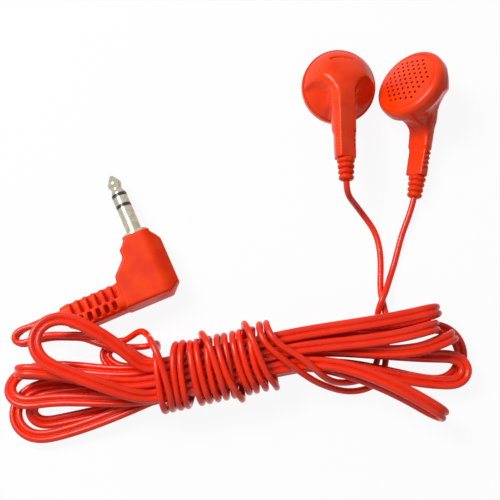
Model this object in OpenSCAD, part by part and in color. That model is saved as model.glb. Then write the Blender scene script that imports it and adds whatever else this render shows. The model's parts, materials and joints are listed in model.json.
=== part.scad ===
// Wired earphones with two round earbuds, a right-angle jack plug and a cord tied in a hank.
// Lengths are in millimetres. +Z is up from the table, and the origin is on the table
// under the middle of the two earbuds.

/* [Piece] */

/* [Jack plug] */
// Diameter of the jack pin
jack_d = 3.5; // [3.4:0.05:3.6]
// Length of the pin from its collar to its point
jack_len = 14.6; // [14:0.1:15.5]
// Diameter of the metal collar at the foot of the pin
collar_d = 5.8; // [5:0.1:7]
// Thickness of the plug body
plug_thick = 7.4; // [6:0.2:9]
// Width of the plug body across the pin
plug_wide = 9.5; // [8:0.1:12]
// Length of the plug body along the pin
plug_long = 16; // [14:0.5:20]
// Length of the ribbed boot on the plug
plug_boot_len = 13.6; // [10:0.2:18]
// Spacing of the slots in the plug boot
slot_pitch = 1.9; // [1.5:0.1:2.5]

/* [Earbuds] */
// Diameter of the front cover
bud_d = 17.2; // [17:0.1:18.5]
// Depth of the front cover from its rim to the seam
cover_deep = 3; // [2.5:0.1:4]
// Height of the face's dome above the rim
face_rise = 0.9; // [0.3:0.1:1.5]
// Wall of the covers
wall = 0.8; // [0.7:0.1:1.2]
// Diameter of a sound hole
hole_d = 0.6; // [0.4:0.05:0.9]
// Spacing of the sound holes
hole_pitch = 1.42; // [1.2:0.02:2]
// Depth of the stem's axis behind the rim
stem_back = 9; // [8:0.1:10]
// Lean of the stem away from the face, in degrees
stem_lean = 12; // [0:1:20]
// Distance from the face's middle to the foot of the stem
stem_len = 18; // [17:0.5:20]
// Width of the stem at its foot
stem_wide = 4.4; // [3.8:0.1:5.5]
// Length of the strain relief
relief_len = 5.1; // [4:0.1:8]
// Diameter of the driver
driver_d = 15.2; // [14.5:0.1:15.4]

/* [Cord] */
// Diameter of one lead
lead_d = 1.3; // [1.1:0.05:1.3]
// Turns of the two leads round the middle of the hank
turns = 7; // [3:1:7]

/* [Hidden] */
// Moves everything so that the origin is under the middle of the earbuds
frame_shift = [0.9, 1.4, 0];
eps = 0.01;

// Colours
cord_red = [0.85, 0.13, 0.05];
shell_red = [0.92, 0.2, 0.08];
nickel = [0.72, 0.7, 0.64];
dark = [0.06, 0.06, 0.06];
steel = [0.6, 0.6, 0.62];
copper = [0.75, 0.4, 0.2];
film = [0.75, 0.75, 0.7];

// ---------------------------------------------------------------- earbud sizes
rim_r = bud_d / 2;
rim_round = 1.5;
face_r = rim_r - rim_round;
face_sphere = (face_r * face_r + face_rise * face_rise) / (2 * face_rise);
driver_r = driver_d / 2;
ledge_z = -1.3;
cloth_t = 0.12;
frame_top = ledge_z - cloth_t;
step_z = -1.75;
floor_z = -3.4;
floor_t = 0.5;
coil_r = 3.1;
coil_t = 0.2;
coil_clear = 0.22;
yoke_t = 0.65;
yoke_in = coil_r + coil_t / 2 + coil_clear;
yoke_out = yoke_in + yoke_t;
yoke_top = -3.05;
plate_t = 0.6;
magnet_t = 1.1;
yoke_floor = 0.6;
yoke_base = yoke_top - plate_t - magnet_t - yoke_floor;
cone_r = driver_r - 2.1;
cone_z = -1.95;
film_t = 0.12;
shell_seam = -cover_deep;
shell_r = rim_r - 0.2;
shell_sphere = 9.9;
crest_round = 13.1;
crest_foot = (1 + 2 * sin(stem_lean)) / cos(stem_lean);
crest_mid = [
  -1 - crest_round * sin(stem_lean),
  -stem_back - crest_foot * sin(stem_lean) + (crest_round - 2) * cos(stem_lean)
];
neck_round = 4.4;
stem_front = 1.4;
shell_z = shell_seam + sqrt(shell_sphere * shell_sphere - shell_r * shell_r);
relief_r1 = 2;
relief_r2 = 1.5;
lip_r = rim_r - wall - 0.4;
lead_r = lead_d / 2;
bore_r = lead_r + 0.03;
relief_end = stem_len + relief_len;
lead_stop = stem_len - 3.6;
clamp_z = stem_len - 4.4;
clamp_band = 0.8;
clamp_waist = 0.5;

// Where each earbud lies, and how it is turned
left_at = [-8.55, 8.1, 1.85];
left_turn = [-14, 184, 0.5];
right_at = [6.72, 6.55, 9.7];
right_turn = [-6.3, -45.3, -14.4];

// ---------------------------------------------------------------- plug sizes
plug_at = [-54.7, -27.5, 3.7];
plug_turn = 24;
half_t = plug_thick / 2;
right_x = plug_wide / 2;
boot_x = 7.9;
boot_top = -9.3;
boot_low = -15.8;
boot_end = -(boot_x + plug_boot_len);
boot_t = half_t - 0.3;
exit_y = -11;
exit_z = -0.5;
exit_half = 1.9;
insulator_w = 0.8;
ring_w = 1.9;
sleeve_w = 6.3;
ring_z = sleeve_w + insulator_w;
tip_z = ring_z + ring_w + insulator_w;
pin_r = jack_d / 2;
shank_r = pin_r - 0.2;
tip_r = pin_r - 0.17;
rod_r = 0.7;
tube_in = 1.25;

// ---------------------------------------------------------------- cord sizes
twin_w = 2 * lead_d;
hank_c = [-35.5, -57.8, 5.8];
hank_turn = 12.5;
hank_half = 14.5;
col_pitch = twin_w + 0.5;
row_pitch = lead_d + 0.48;
along = [cos(hank_turn), sin(hank_turn), 0];
across = [-sin(hank_turn), cos(hank_turn), 0];
up = [0, 0, 1];
wind_a = 6.5;
wind_b = 5.1;
wind_steps = 24;
strand_rings = 8;
tip_rings = 8;
waist_rings = 2;
hank_start = hank_c - along * 12.5 + across * col_pitch + up * row_pitch / 2;

// A lobe is one fold of the hank: [side, slot out, slot back, tip, heading, tilt, radius,
// length of the bend, pitch, reaches]. A slot is [column, row] in the tie. The heading is
// the way the lobe points, the tilt turns its plane from level, and the four reaches are
// shares of a strand's length: leaving and rejoining the tie, then at the bend.
lobes = [
  [ 1, [2, 2], [2, 3], [ 11.5, -45.7,  7.25],  14, -90, 3.4,  3.4,   0, [0.65, 0.30, 0.30, 0.35]],
  [-1, [2, 3], [0, 3], [-73.8, -51.0, 11.1], 158, 186, 5.2,  6.0,   0, [0.12, 0.10, 0.60, 0.80]],
  [ 1, [0, 3], [0, 2], [ 11.6, -68.0,  6.5], -29,  90, 3.4,  3.4, -15, [0.35, 0.25, 0.35, 0.35]],
  [-1, [0, 2], [2, 1], [-80.8, -62.2,  2.7], 190,  25, 4.2,  5.0,   0, [0.35, 0.35, 0.35, 0.35]],
  [ 1, [2, 1], [1, 3], [ 11.1, -49.1,  7.1],  16, -85, 3.3,  3.4,   0, [0.35, 0.30, 0.40, 0.40]],
  [-1, [1, 3], [1, 2], [-78.7, -58.7,  5.7], 180,  90, 2.7,  2.7,   0, [0.35, 0.35, 0.35, 0.35]],
  [ 1, [1, 2], [1, 0], [ 15.0, -50.8,  5.4],  25,  95, 3.1,  3.4,   0, [0.35, 0.45, 0.35, 0.35]],
  [-1, [1, 0], [0, 1], [-79.6, -67.7,  1.5], 190, 188, 5.6,  6.5,   0, [0.10, 0.03, 0.35, 0.35]],
  [ 1, [0, 1], [1, 1], [ 17.5, -58.1,  4.3],   0, 180, 2.85, 3.4,   0, [0.33, 0.25, 0.35, 0.35]],
  [-1, [1, 1], [0, 0], [-76.2, -67.0,  1.4], 190, 165, 2.8,  3.4,   0, [0.25, 0.03, 0.35, 0.35]],
  [ 1, [0, 0], [2, 0], [ 17.3, -54.6,  1.6],  -2, 180, 6.0,  5.6,  -0.5, [0.42, 0.40, 0.25, 0.30]]
];

// Last fold of the twin cord, from the tie round to where its two leads part
split_route = [
  [-54.2, -57.9, 2.9], [-57.2, -57.7, 2.4], [-59.7, -56.5, 1.8], [-60.9, -54.7, 1.5],
  [-60.2, -53.0, 1.4], [-58.4, -52.2, 1.5], [-56.6, -52.1, 1.7]
];

// Twin cord from the plug boot to the tie: [x, y, z, twist from level]
main_route = [
  [-73.2, -47.2, 2.4, 30], [-76.9, -48.1, 1.8, 70], [-79.8, -49.2, 1.5, 90],
  [-81.1, -50.8, 1.5, 90], [-79.8, -52.3, 1.5, 90], [-76.6, -51.5, 1.9, 80],
  [-72.9, -50.6, 2.6, 70], [-69.1, -50.8, 3.8, 75], [-65.3, -51.0, 5.0, 70],
  [-61.2, -52.1, 5.9, 30], [-57.6, -53.3, 6.4, 0], [-54.2, -55.2, 6.7, 0],
  [-51.4, -56.9, 6.7, 0]
];

// Leads from the winding to the earbuds' strain reliefs
left_route = [
  [-27.1, -48.6, 8], [-27.1, -49.5, 9.8], [-26.9, -51.3, 11.1], [-25.9, -53.3, 11.4],
  [-24.1, -55.1, 11.3], [-21.7, -56.9, 10.9], [-18.8, -58.9, 9.8], [-15.4, -60.8, 7.2],
  [-11.4, -62, 4], [-8.2, -62.5, 1.7], [-5.2, -62.3, 0.7], [-2.4, -61.4, 0.7],
  [-0.1, -59.1, 0.7], [0.9, -55.1, 0.7], [1.2, -50.3, 0.7], [1.2, -45.4, 0.7],
  [0.8, -43.3, 0.7], [0.2, -40.8, 0.7], [0.3, -37.1, 0.7], [0.5, -33.5, 0.7], [0.2, -29.3, 0.7],
  [-0.6, -26.4, 0.7], [-1.6, -24.7, 0.9], [-3, -23.1, 1.7], [-4.3, -21.9, 3.1],
  [-5.5, -21, 4.9], [-6.6, -20.4, 6.6], [-7.5, -19.6, 8.2]
];
right_route = [
  [-25.6, -48.3, 8], [-25.5, -49.2, 9.8], [-25.1, -50.9, 11.1], [-23.9, -52.7, 11.4],
  [-22, -54.2, 11.2], [-19.5, -55.6, 10.9], [-16.8, -57.4, 10.8], [-13.8, -60, 9.2],
  [-10.9, -60.9, 6], [-7.7, -60.7, 3.2], [-4.1, -59.7, 1.1], [-1.8, -57.8, 0.7],
  [-0.8, -54.5, 0.7], [-0.5, -50, 0.7], [-0.8, -46, 0.7], [-0.5, -44.3, 1.7],
  [0.2, -42.5, 2.5], [1.3, -40.2, 1.9], [2.1, -37.9, 1], [3.1, -35.2, 0.7], [4.1, -32, 0.7],
  [4.9, -29.1, 0.7], [5.8, -26.3, 0.8], [7, -23.4, 1.2]
];

// Turns of each lead round the tie: place along the tie at the far side, on top and at the
// near side, then how far it is lifted off the tie at these three
left_rows = [
  [-13.3, -11.3, -11.5, 2.8, 0.9, 0],
  [-6.5, -8.0, -8.2, 0.4, 0, 0],
  [-3.6, -4.0, -3.5, 0, 0, 0],
  [-0.9, -2.1, -1.7, 0, 0, 0],
  [0.9, 0.8, 3.3, 0, 0.8, 1.2],
  [5.7, 5.4, 6.7, 0, 0, 0],
  [8.6, 7.25, 8.7, 0, 0, 0],
  [10.4, 10.4, 10.4, 0.5, 0, 0]
];
right_rows = [
  [-12.2, -12.9, -13.1, 0, 0, 0],
  [-8.0, -9.55, -9.75, 0.4, 0, 0],
  [-5.05, -5.5, -5.2, 0, 0, 0],
  [-2.3, -0.6, 0.1, 1.4, 1.2, 0],
  [2.35, 2.05, 1.9, 0, -0.55, 0],
  [4.2, 3.9, 5.1, 0, 0, 0],
  [7.1, 8.5, 11.0, 1.5, 1.2, 0.3],
  [11.9, 11.9, 11.9, 0.5, 0, 0]
];

// Ways from the parting of the leads to the start of the winding
left_way = [[-54.5, -50.5, 3], [-52.4, -49.3, 4.8]];
right_way = [[-53.7, -52.9, 1.3], [-50.6, -52.6, 1.9], [-49.1, -51.9, 3.8]];

// ---------------------------------------------------------------- route functions
function unit(v) = v / norm(v);
function last(list) = list[len(list) - 1];
function heading_dir(h, p) = [cos(h) * cos(p), sin(h) * cos(p), sin(p)];

// Point p turned by the angles a about X, then Y, then Z
function spin_x(p, a) = [p[0], p[1] * cos(a) - p[2] * sin(a), p[1] * sin(a) + p[2] * cos(a)];
function spin_y(p, a) = [p[0] * cos(a) + p[2] * sin(a), p[1], p[2] * cos(a) - p[0] * sin(a)];
function spin_z(p, a) = [p[0] * cos(a) - p[1] * sin(a), p[0] * sin(a) + p[1] * cos(a), p[2]];
function spin(p, a) = spin_z(spin_y(spin_x(p, a[0]), a[1]), a[2]);

// Point on a stem's axis, at distance l from the point behind the face's middle
function stem_point(at, turn, l) =
  at + spin([0, -l * cos(stem_lean), -stem_back - l * sin(stem_lean)], turn);

// Cubic curve from a0 to a3, without its first point
function bend(a0, a1, a2, a3, n) = [
  for (i = [1 : n])
    let (t = i / n, s = 1 - t)
      s * s * s * a0 + 3 * s * s * t * a1 + 3 * s * t * t * a2 + t * t * t * a3
];

// Straight run from p to q, without its first point
function straight(p, q, n) = [for (i = [1 : n]) p + (q - p) * i / n];

// Middle of a slot at one mouth of the tie
function slot_at(s, side) =
  hank_c + along * hank_half * side + across * col_pitch * (s[0] - 1)
  + up * row_pitch * (s[1] - 1.5);

// One fold of the hank, from its slot out to its slot back
function lobe_path(l) =
  let (
    p0 = slot_at(l[1], l[0]),
    p1 = slot_at(l[2], l[0]),
    away = along * l[0],
    e = heading_dir(l[4], l[8]),
    eh = unit([-e[1], e[0], 0]),
    n = cos(l[5]) * eh + sin(l[5]) * cross(e, eh),
    mid = l[3] - e * l[7],
    a = mid + n * l[6],
    b = mid - n * l[6],
    la = norm(a - p0),
    lb = norm(b - p1),
    reach = l[9]
  )
  concat(
    bend(p0, p0 + away * reach[0] * la, a - e * reach[2] * la, a, strand_rings),
    [for (i = [1 : tip_rings])
      let (f = 180 * i / tip_rings) mid + e * l[7] * sin(f) + n * l[6] * cos(f)],
    bend(b, b - e * reach[3] * lb, p1 + away * reach[1] * lb, p1, strand_rings)
  );

// The hank from its start to the end of fold k
function folded(k) =
  k < 0 ? [hank_start] :
  let (before = folded(k - 1), l = lobes[k])
  concat(before, straight(last(before), slot_at(l[1], l[0]), waist_rings), lobe_path(l));

// Directions along a path, with given directions at its ends
function tangents(path, first_dir, last_dir) = [
  for (i = [0 : len(path) - 1])
    i == 0 ? unit(first_dir) :
    i == len(path) - 1 ? unit(last_dir) : unit(path[i + 1] - path[i - 1])
];

// Width direction of a flat cord, carried along from w and drawn towards level
function carried(w, t) =
  let (
    v = w - (w * t) * t,
    h = cross(up, t),
    u = v + (h * v >= 0 ? 0.35 : -0.35) * h,
    q = u - (u * t) * t
  )
  q / norm(q);
function widths(t, w0) = [
  for (i = 0, w = unit(w0 - (w0 * t[0]) * t[0]); i < len(t);
       i = i + 1, w = i < len(t) ? carried(w, t[i]) : w) w
];

// Level width direction, turned about the path by an angle
function level(t, a = 0) =
  let (h = unit(cross(up, t))) cos(a) * h + sin(a) * cross(t, h);

// Sideways direction of a winding, square to its path
function square_to(t, v) = unit(v - (v * t) * t);

// Share k of an oval's half width, and the value at u of a curve through a, b and c
function oval(k) = sign(k) * pow(abs(k), 2 / 3);
function over(a, b, c, u) = b + (a - c) / 2 * u + ((a + c) / 2 - b) * u * u;

// One lead of the winding, from its rows of places and lifts
function wound(rows) = [
  for (i = [0 : turns * wind_steps])
    let (
      n = min(floor(i / wind_steps), turns - 1),
      f = 360 * (i / wind_steps - n),
      u = cos(f),
      r = rows[n],
      q = rows[n + 1],
      s = f < 180 ? over(r[0], r[1], r[2], u) : over(q[0], (r[2] + q[0]) / 2, r[2], u),
      lift = f < 180 ? over(r[3], r[4], r[5], u) : max(0, over(q[3], 0, r[5], u)),
      y = (wind_a + lift) * oval(u),
      z = (wind_b + (f < 180 ? lift : 0)) * oval(sin(f))
    )
    hank_c + along * s + across * y + up * (z - 0.05)
];

// Cross-sections, one unit wide each way
hex = [[1, 0], [0.55, 1], [-0.55, 1], [-1, 0], [-0.55, -1], [0.55, -1]];
octagon = [[1, 0.4], [0.6, 1], [-0.6, 1], [-1, 0.4], [-1, -0.4], [-0.6, -1], [0.6, -1],
           [1, -0.4]];
function circle_of(n) = [for (j = [0 : n - 1]) [cos(360 * (j + 0.5) / n), sin(360 * (j + 0.5) / n)]];

// Solid swept along a path: t is its direction and w its width direction at each point
module swept(path, t, w, half_w, half_t, section) {
  m = len(section);
  n = len(path);
  points = [
    for (i = [0 : n - 1])
      for (s = section)
        path[i] + w[i] * s[0] * half_w + cross(t[i], w[i]) * s[1] * half_t
  ];
  sides = [
    for (i = [0 : n - 2])
      for (j = [0 : m - 1])
        let (a = i * m + j, b = i * m + (j + 1) % m)
          each [[a, a + m, b + m], [a, b + m, b]]
  ];
  caps = [
    for (j = [1 : m - 2]) each [[0, j, j + 1], [(n - 1) * m, (n - 1) * m + j + 1, (n - 1) * m + j]]
  ];
  polyhedron(points = points, faces = concat(sides, caps), convexity = 10);
}

// Distance from p to the segment from a to b
function seg_gap(p, a, b) =
  let (k = max(0, min(1, (p - a) * (b - a) / ((b - a) * (b - a))))) norm(p - a - k * (b - a));
function run_of(path) = [
  for (i = 0, d = 0; i < len(path); i = i + 1, d = i < len(path) ? d + norm(path[i] - path[i - 1]) : d) d
];

// Least gap between strands of one cord, not counting its near neighbours along itself
function self_gap(strands, path, d, near) =
  let (run = run_of(path))
  min([
    for (i = [0 : len(path) - 1])
      for (j = [0 : len(path) - 2])
        if (abs(run[i] - run[j]) > near && norm(path[i] - path[j]) < 9)
          for (p = strands)
            for (q = strands)
              seg_gap(p[i], q[j], q[j + 1])
  ]) - d;

// ---------------------------------------------------------------- whole cord paths
boot_exit = plug_at + spin_z([boot_end, exit_y, exit_z], plug_turn);
boot_away = spin_z([-1, 0, 0], plug_turn);
main_path = concat([boot_exit], [for (p = main_route) [p[0], p[1], p[2]]], [hank_start]);
main_twist = concat([0], [for (p = main_route) p[3]], [0]);
main_t = tangents(main_path, boot_away, along);
main_w = [for (i = [0 : len(main_path) - 1]) level(main_t[i], main_twist[i])];

hank_body = folded(len(lobes) - 1);
hank_path = concat(
  hank_body, straight(last(hank_body), slot_at([2, 0], -1), waist_rings), split_route
);
split_dir = unit(split_route[6] - split_route[5]);
hank_t = tangents(hank_path, along, split_dir);
hank_w = widths(hank_t, across);
hank_strands = [for (k = [-1, 1]) [for (i = [0 : len(hank_path) - 1])
  hank_path[i] + k * lead_r * hank_w[i]]];

// The two leads part at the end of the twin cord
split_w = last(hank_w) * sign(last(hank_w) * up == 0 ? 1 : last(hank_w)[1]);
left_start = last(hank_path) + split_w * lead_r;
right_start = last(hank_path) - split_w * lead_r;
left_wound = concat([left_start], left_way, wound(left_rows));
right_wound = concat([right_start], right_way, wound(right_rows));
left_foot = [for (l = [relief_end + 1.2, relief_end, stem_len, lead_stop])
  stem_point(left_at, left_turn, l)];
right_foot = [for (l = [relief_end + 1.2, relief_end, stem_len, lead_stop])
  stem_point(right_at, right_turn, l)];
left_path = concat(left_wound, left_route, left_foot);
right_path = concat(right_wound, right_route, right_foot);
left_n = len(left_wound);
right_n = len(right_wound);

// Width directions: square to the tie where wound, level elsewhere
function lead_widths(t, n, first) = [
  for (i = [0 : len(t) - 1])
    i < first ? level(t[i]) : i < n ? square_to(t[i], along) : level(t[i])
];
left_t = tangents(left_path, split_dir, left_foot[3] - left_foot[2]);
right_t = tangents(right_path, split_dir, right_foot[3] - right_foot[2]);
left_w = lead_widths(left_t, left_n, 0);
right_w = lead_widths(right_t, right_n, 0);

module lead(path, t, w, from, to, section) {
  swept(
    [for (i = [from : to]) path[i]], [for (i = [from : to]) t[i]],
    [for (i = [from : to]) w[i]], lead_r, lead_r, section
  );
}

// ---------------------------------------------------------------- cords
module main_lead() {
  color(cord_red)
    swept(main_path, main_t, main_w, lead_d, lead_r, octagon);
}

module cord_hank() {
  color(cord_red)
    swept(hank_path, hank_t, hank_w, lead_d, lead_r, hex);
}

module left_winding() {
  color(cord_red)
    lead(left_path, left_t, left_w, 0, left_n - 1, circle_of(6));
}

module right_winding() {
  color(cord_red)
    lead(right_path, right_t, right_w, 0, right_n - 1, circle_of(6));
}

module left_lead() {
  w = [for (i = [0 : len(left_t) - 1]) i < left_n - 1 ? left_w[i] : level(left_t[i])];
  color(cord_red)
    lead(left_path, left_t, w, left_n - 1, len(left_path) - 1, circle_of(8));
}

module right_lead() {
  w = [for (i = [0 : len(right_t) - 1]) i < right_n - 1 ? right_w[i] : level(right_t[i])];
  color(cord_red)
    lead(right_path, right_t, w, right_n - 1, len(right_path) - 1, circle_of(8));
}

// ---------------------------------------------------------------- jack plug
module plug_place() {
  translate(plug_at)
    rotate([0, 0, plug_turn])
      children();
}

module on_pin() {
  plug_place()
    rotate([-90, 0, 0])
      children();
}

module tube(r1, r2, z1, z2) {
  translate([0, 0, z1])
    difference() {
      cylinder(r = r2, h = z2 - z1, $fn = 48);
      translate([0, 0, -1])
        cylinder(r = r1, h = z2 - z1 + 2, $fn = 48);
    }
}

// Eight-sided section with flat faces and chamfered edges, from -a to a by -b to b
module chamfered(a, b, c) {
  polygon([
    [a - c, b], [c - a, b], [-a, b - c], [-a, c - b],
    [c - a, -b], [a - c, -b], [a, c - b], [a, b - c]
  ]);
}

module plug_outline() {
  x = right_x;
  polygon([
    [3.1, -0.7], [3.1, -1.4], [x - 0.6, -2.6], [x, -3.6], [x, 1.8 - plug_long],
    [x - 2.2, -plug_long], [-boot_x, boot_low], [-boot_x, boot_top], [-7.7, -8.2],
    [-4.9, -5.3], [0.1 - x, -4.6], [0.1 - x, -3.2], [-3.7, -2.3], [-3.1, -1.4], [-3.1, -0.7]
  ]);
}

module plug_boot_outline() {
  polygon([
    [-boot_x + 0.5, boot_top], [-boot_x + 0.5, boot_low], [boot_end + 3, boot_low],
    [boot_end, exit_y - exit_half - 0.6], [boot_end, exit_y + exit_half - 0.6],
    [boot_end + 1.5, boot_top]
  ]);
}

module boot_slots() {
  half = (boot_top + boot_low) / 2;
  for (i = [0 : 5]) {
    x = -boot_x - 1.2 - i * slot_pitch;
    for (side = [-1, 1]) {
      translate([x - 0.45, boot_top - 3.5, side > 0 ? boot_t - 1.1 : -boot_t - 1])
        cube([0.9, 5, 2.1]);
      translate([x - 0.45 - slot_pitch / 2, boot_top - 5.8, side > 0 ? boot_t - 1.1 : -boot_t - 1])
        cube([0.9, 1.8, 2.1]);
    }
  }
}

module plug_body() {
  color(shell_red)
    difference() {
      plug_place()
        union() {
          intersection() {
            translate([0, 0, -half_t])
              linear_extrude(plug_thick)
                plug_outline();
            translate([0, 0.5, 0])
              rotate([90, 0, 0])
                linear_extrude(plug_long + 1)
                  polygon([
                    [2.0, half_t], [-12, half_t], [-12, -half_t], [2.0, -half_t],
                    [right_x, 2.2 - half_t], [right_x, half_t - 2.2]
                  ]);
          }
          difference() {
            intersection() {
              translate([0, 0, -half_t])
                linear_extrude(plug_thick)
                  plug_boot_outline();
              translate([boot_end, (boot_top + boot_low) / 2, 0])
                rotate([90, 0, 90])
                  linear_extrude(plug_boot_len + 0.5)
                    chamfered((boot_top - boot_low) / 2, boot_t, 1);
            }
            boot_slots();
          }
        }
      on_pin()
        translate([0, 0, -6.1])
          cylinder(r = 2.25, h = 6.2, $fn = 48);
    }
}

module jack_carrier() {
  color(nickel)
    on_pin() {
      tube(shank_r + 0.03, collar_d / 2, -0.69, -0.02);
      tube(shank_r + 0.03, 2.2, -3.4, -0.69 + eps);
    }
}

module jack_sleeve() {
  color(nickel)
    on_pin() {
      tube(tube_in, pin_r, 0, sleeve_w);
      tube(tube_in, shank_r, -4.4, eps);
    }
}

module jack_rear_insulator() {
  color(dark)
    on_pin() {
      tube(1.0, pin_r, sleeve_w, ring_z);
      tube(1.0, tube_in - 0.04, -4.9, sleeve_w + eps);
    }
}

module jack_ring() {
  color(nickel)
    on_pin() {
      tube(rod_r + 0.1, pin_r, ring_z, ring_z + ring_w);
      tube(rod_r + 0.1, 0.96, -5.4, ring_z + eps);
    }
}

module jack_front_insulator() {
  color(dark)
    on_pin()
      tube(rod_r + 0.04, pin_r, ring_z + ring_w, tip_z);
}

module jack_tip() {
  color(nickel)
    on_pin()
      rotate_extrude($fn = 48)
        polygon([
          [0, -5.9], [rod_r, -5.9], [rod_r, tip_z], [tip_r, tip_z], [tip_r, tip_z + 0.4],
          [1.22, tip_z + 1.2], [1.22, tip_z + 1.5], [tip_r, tip_z + 2.5], [tip_r, tip_z + 2.9],
          [0.55, jack_len - 0.25], [0.35, jack_len], [0, jack_len]
        ]);
}

// ---------------------------------------------------------------- earbuds
// Each piece is drawn with the rim of the face in the plane z = 0 and the stem towards -y.
// Side is 1 for the right earbud and -1 for the left one, which is its mirror image.
module bud_place(side) {
  translate(side > 0 ? right_at : left_at)
    rotate(side > 0 ? right_turn : left_turn)
      children();
}

module stem_place() {
  translate([0, 0, -stem_back])
    rotate([90 + stem_lean, 0, 0])
      children();
}

module front_cover(side) {
  n = ceil(6 / hole_pitch);
  color(shell_red)
    bud_place(side)
      difference() {
        union() {
          translate([0, 0, -cover_deep])
            cylinder(r = rim_r, h = cover_deep - rim_round, $fn = 96);
          translate([0, 0, -cover_deep])
            cylinder(r = face_r, h = cover_deep, $fn = 96);
          translate([0, 0, -rim_round])
            rotate_extrude($fn = 96)
              translate([face_r, 0])
                circle(r = rim_round, $fn = 40);
          intersection() {
            translate([0, 0, face_rise - face_sphere])
              sphere(r = face_sphere, $fn = 96);
            translate([0, 0, -1])
              cylinder(r = face_r, h = 3, $fn = 96);
          }
        }
        translate([0, 0, -cover_deep - 1])
          cylinder(r = rim_r - wall, h = cover_deep + 1 + ledge_z, $fn = 96);
        intersection() {
          translate([0, 0, face_rise - face_sphere])
            sphere(r = face_sphere - wall, $fn = 96);
          translate([0, 0, ledge_z - 1])
            cylinder(r = driver_r - 0.9, h = 4, $fn = 96);
        }
        translate([0, 0, 0.08])
          rotate_extrude($fn = 96)
            translate([face_r - 0.05, 0])
              circle(r = 0.2, $fn = 16);
        for (i = [-n : n])
          for (j = [-n : n]) {
            x = (i + j / 2) * hole_pitch;
            y = j * hole_pitch * sin(60);
            if (norm([x, y]) < 5.8)
              translate([x, y, -1])
                cylinder(d = hole_d, h = 3, $fn = 16);
          }
      }
}

module grille_cloth(side) {
  color(dark)
    bud_place(side)
      translate([0, 0, frame_top])
        cylinder(r = driver_r - 0.02, h = cloth_t, $fn = 72);
}

module driver_frame(side) {
  color(steel)
    bud_place(side)
      difference() {
        union() {
          translate([0, 0, -2])
            cylinder(r = driver_r, h = 2 + frame_top, $fn = 96);
          translate([0, 0, floor_z])
            cylinder(r = driver_r - 0.9, h = -1.9 - floor_z, $fn = 96);
          translate([0, 0, floor_z - floor_t])
            cylinder(r = driver_r - 1.25, h = floor_t + eps, $fn = 96);
        }
        translate([0, 0, step_z])
          cylinder(r = driver_r - 0.4, h = 2, $fn = 96);
        translate([0, 0, floor_z])
          cylinder(r = driver_r - 1.4, h = 4, $fn = 96);
        translate([0, 0, floor_z - 1])
          cylinder(r = yoke_out + 0.03, h = 2, $fn = 96);
        for (a = [0, 90, 180])
          rotate([0, 0, a])
            translate([4.85, 0, floor_z - 1])
              cylinder(r = 0.35, h = 2, $fn = 24);
      }
}

module surround(side) {
  color(film)
    bud_place(side)
      translate([0, 0, step_z]) {
        tube(driver_r - 1.5, driver_r - 0.5, 0, film_t);
        rotate_extrude($fn = 96)
          translate([driver_r - 1.72, 0.05])
            difference() {
              circle(r = 0.3, $fn = 32);
              circle(r = 0.19, $fn = 32);
              translate([-1, 0])
                square([2, 1]);
            }
      }
}

module diaphragm(side) {
  color(film)
    bud_place(side)
      translate([0, 0, cone_z])
        rotate_extrude($fn = 96)
          polygon([
            [0, 0.15], [1.1, 0.1], [2.1, -0.08], [2.9, -0.35], [3.3, -0.35], [4.3, -0.02],
            [cone_r, 0], [cone_r, -film_t], [4.3, -0.14], [3.35, -0.5], [2.85, -0.5],
            [2.1, -0.2], [1.1, -0.02], [0, 0.03]
          ]);
}

module voice_coil(side) {
  color(copper)
    bud_place(side)
      tube(coil_r - coil_t / 2, coil_r + coil_t / 2, -4, cone_z - 0.5);
}

module pole_plate(side) {
  color(steel)
    bud_place(side)
      translate([0, 0, yoke_top - plate_t])
        cylinder(r = coil_r - coil_t / 2 - coil_clear, h = plate_t, $fn = 72);
}

module magnet(side) {
  color(steel)
    bud_place(side)
      translate([0, 0, yoke_top - plate_t - magnet_t])
        cylinder(r = coil_r - 0.8, h = magnet_t, $fn = 72);
}

module yoke(side) {
  color(steel)
    bud_place(side)
      difference() {
        translate([0, 0, yoke_base])
          cylinder(r = yoke_out, h = yoke_top - yoke_base, $fn = 72);
        translate([0, 0, yoke_base + yoke_floor])
          cylinder(r = yoke_in, h = 5, $fn = 72);
      }
}

module terminal_board(side) {
  color([0.1, 0.35, 0.15])
    bud_place(side)
      translate([-1.7, -5.3, floor_z - floor_t - 0.4]) {
        cube([3.4, 1.15, 0.4]);
        for (x = [0.7, 2.7])
          translate([x, 0.57, -0.25])
            cylinder(r = 0.35, h = 0.26, $fn = 24);
      }
}

module vent_felt(side) {
  color(dark)
    bud_place(side)
      translate([0, 4.86, floor_z - floor_t - 0.25])
        cylinder(r = 0.75, h = 0.25, $fn = 32);
}

// Stem solid along +z, with its flat front towards +y and a ridge at the back
module stem_solid(side) {
  w = stem_wide / 2;
  intersection() {
    linear_extrude(stem_len)
        polygon([
          [2.1, stem_front], [2.6, stem_front - 0.5], [2.6, -0.5], [side * -0.5, -2], [-2.6, -0.5],
          [-2.6, stem_front - 0.5], [-2.1, stem_front]
        ]);
    translate([0, 3, 0])
      rotate([90, 0, 0])
        linear_extrude(6)
          polygon([[2.6, crest_foot - 0.2], [-2.6, crest_foot - 0.2], [-w, stem_len], [w, stem_len]]);
  }
}

// Web that carries the shell's dome down into the front of the stem with a hollow curve
module neck_web() {
  on_stem = 11;
  front = [-on_stem * cos(stem_lean) - stem_front * sin(stem_lean),
           -stem_back - on_stem * sin(stem_lean) + stem_front * cos(stem_lean)];
  rotate([90, 0, 90])
    translate([0, 0, -2.3])
      linear_extrude(4.6)
        difference() {
          polygon([[0, shell_seam - 3], [-shell_r, shell_seam], front, front - [0, 1.2],
                   [-4, -stem_back]]);
          translate(front + neck_round * [-sin(stem_lean), cos(stem_lean)])
            circle(r = neck_round, $fn = 64);
        }
}

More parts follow.
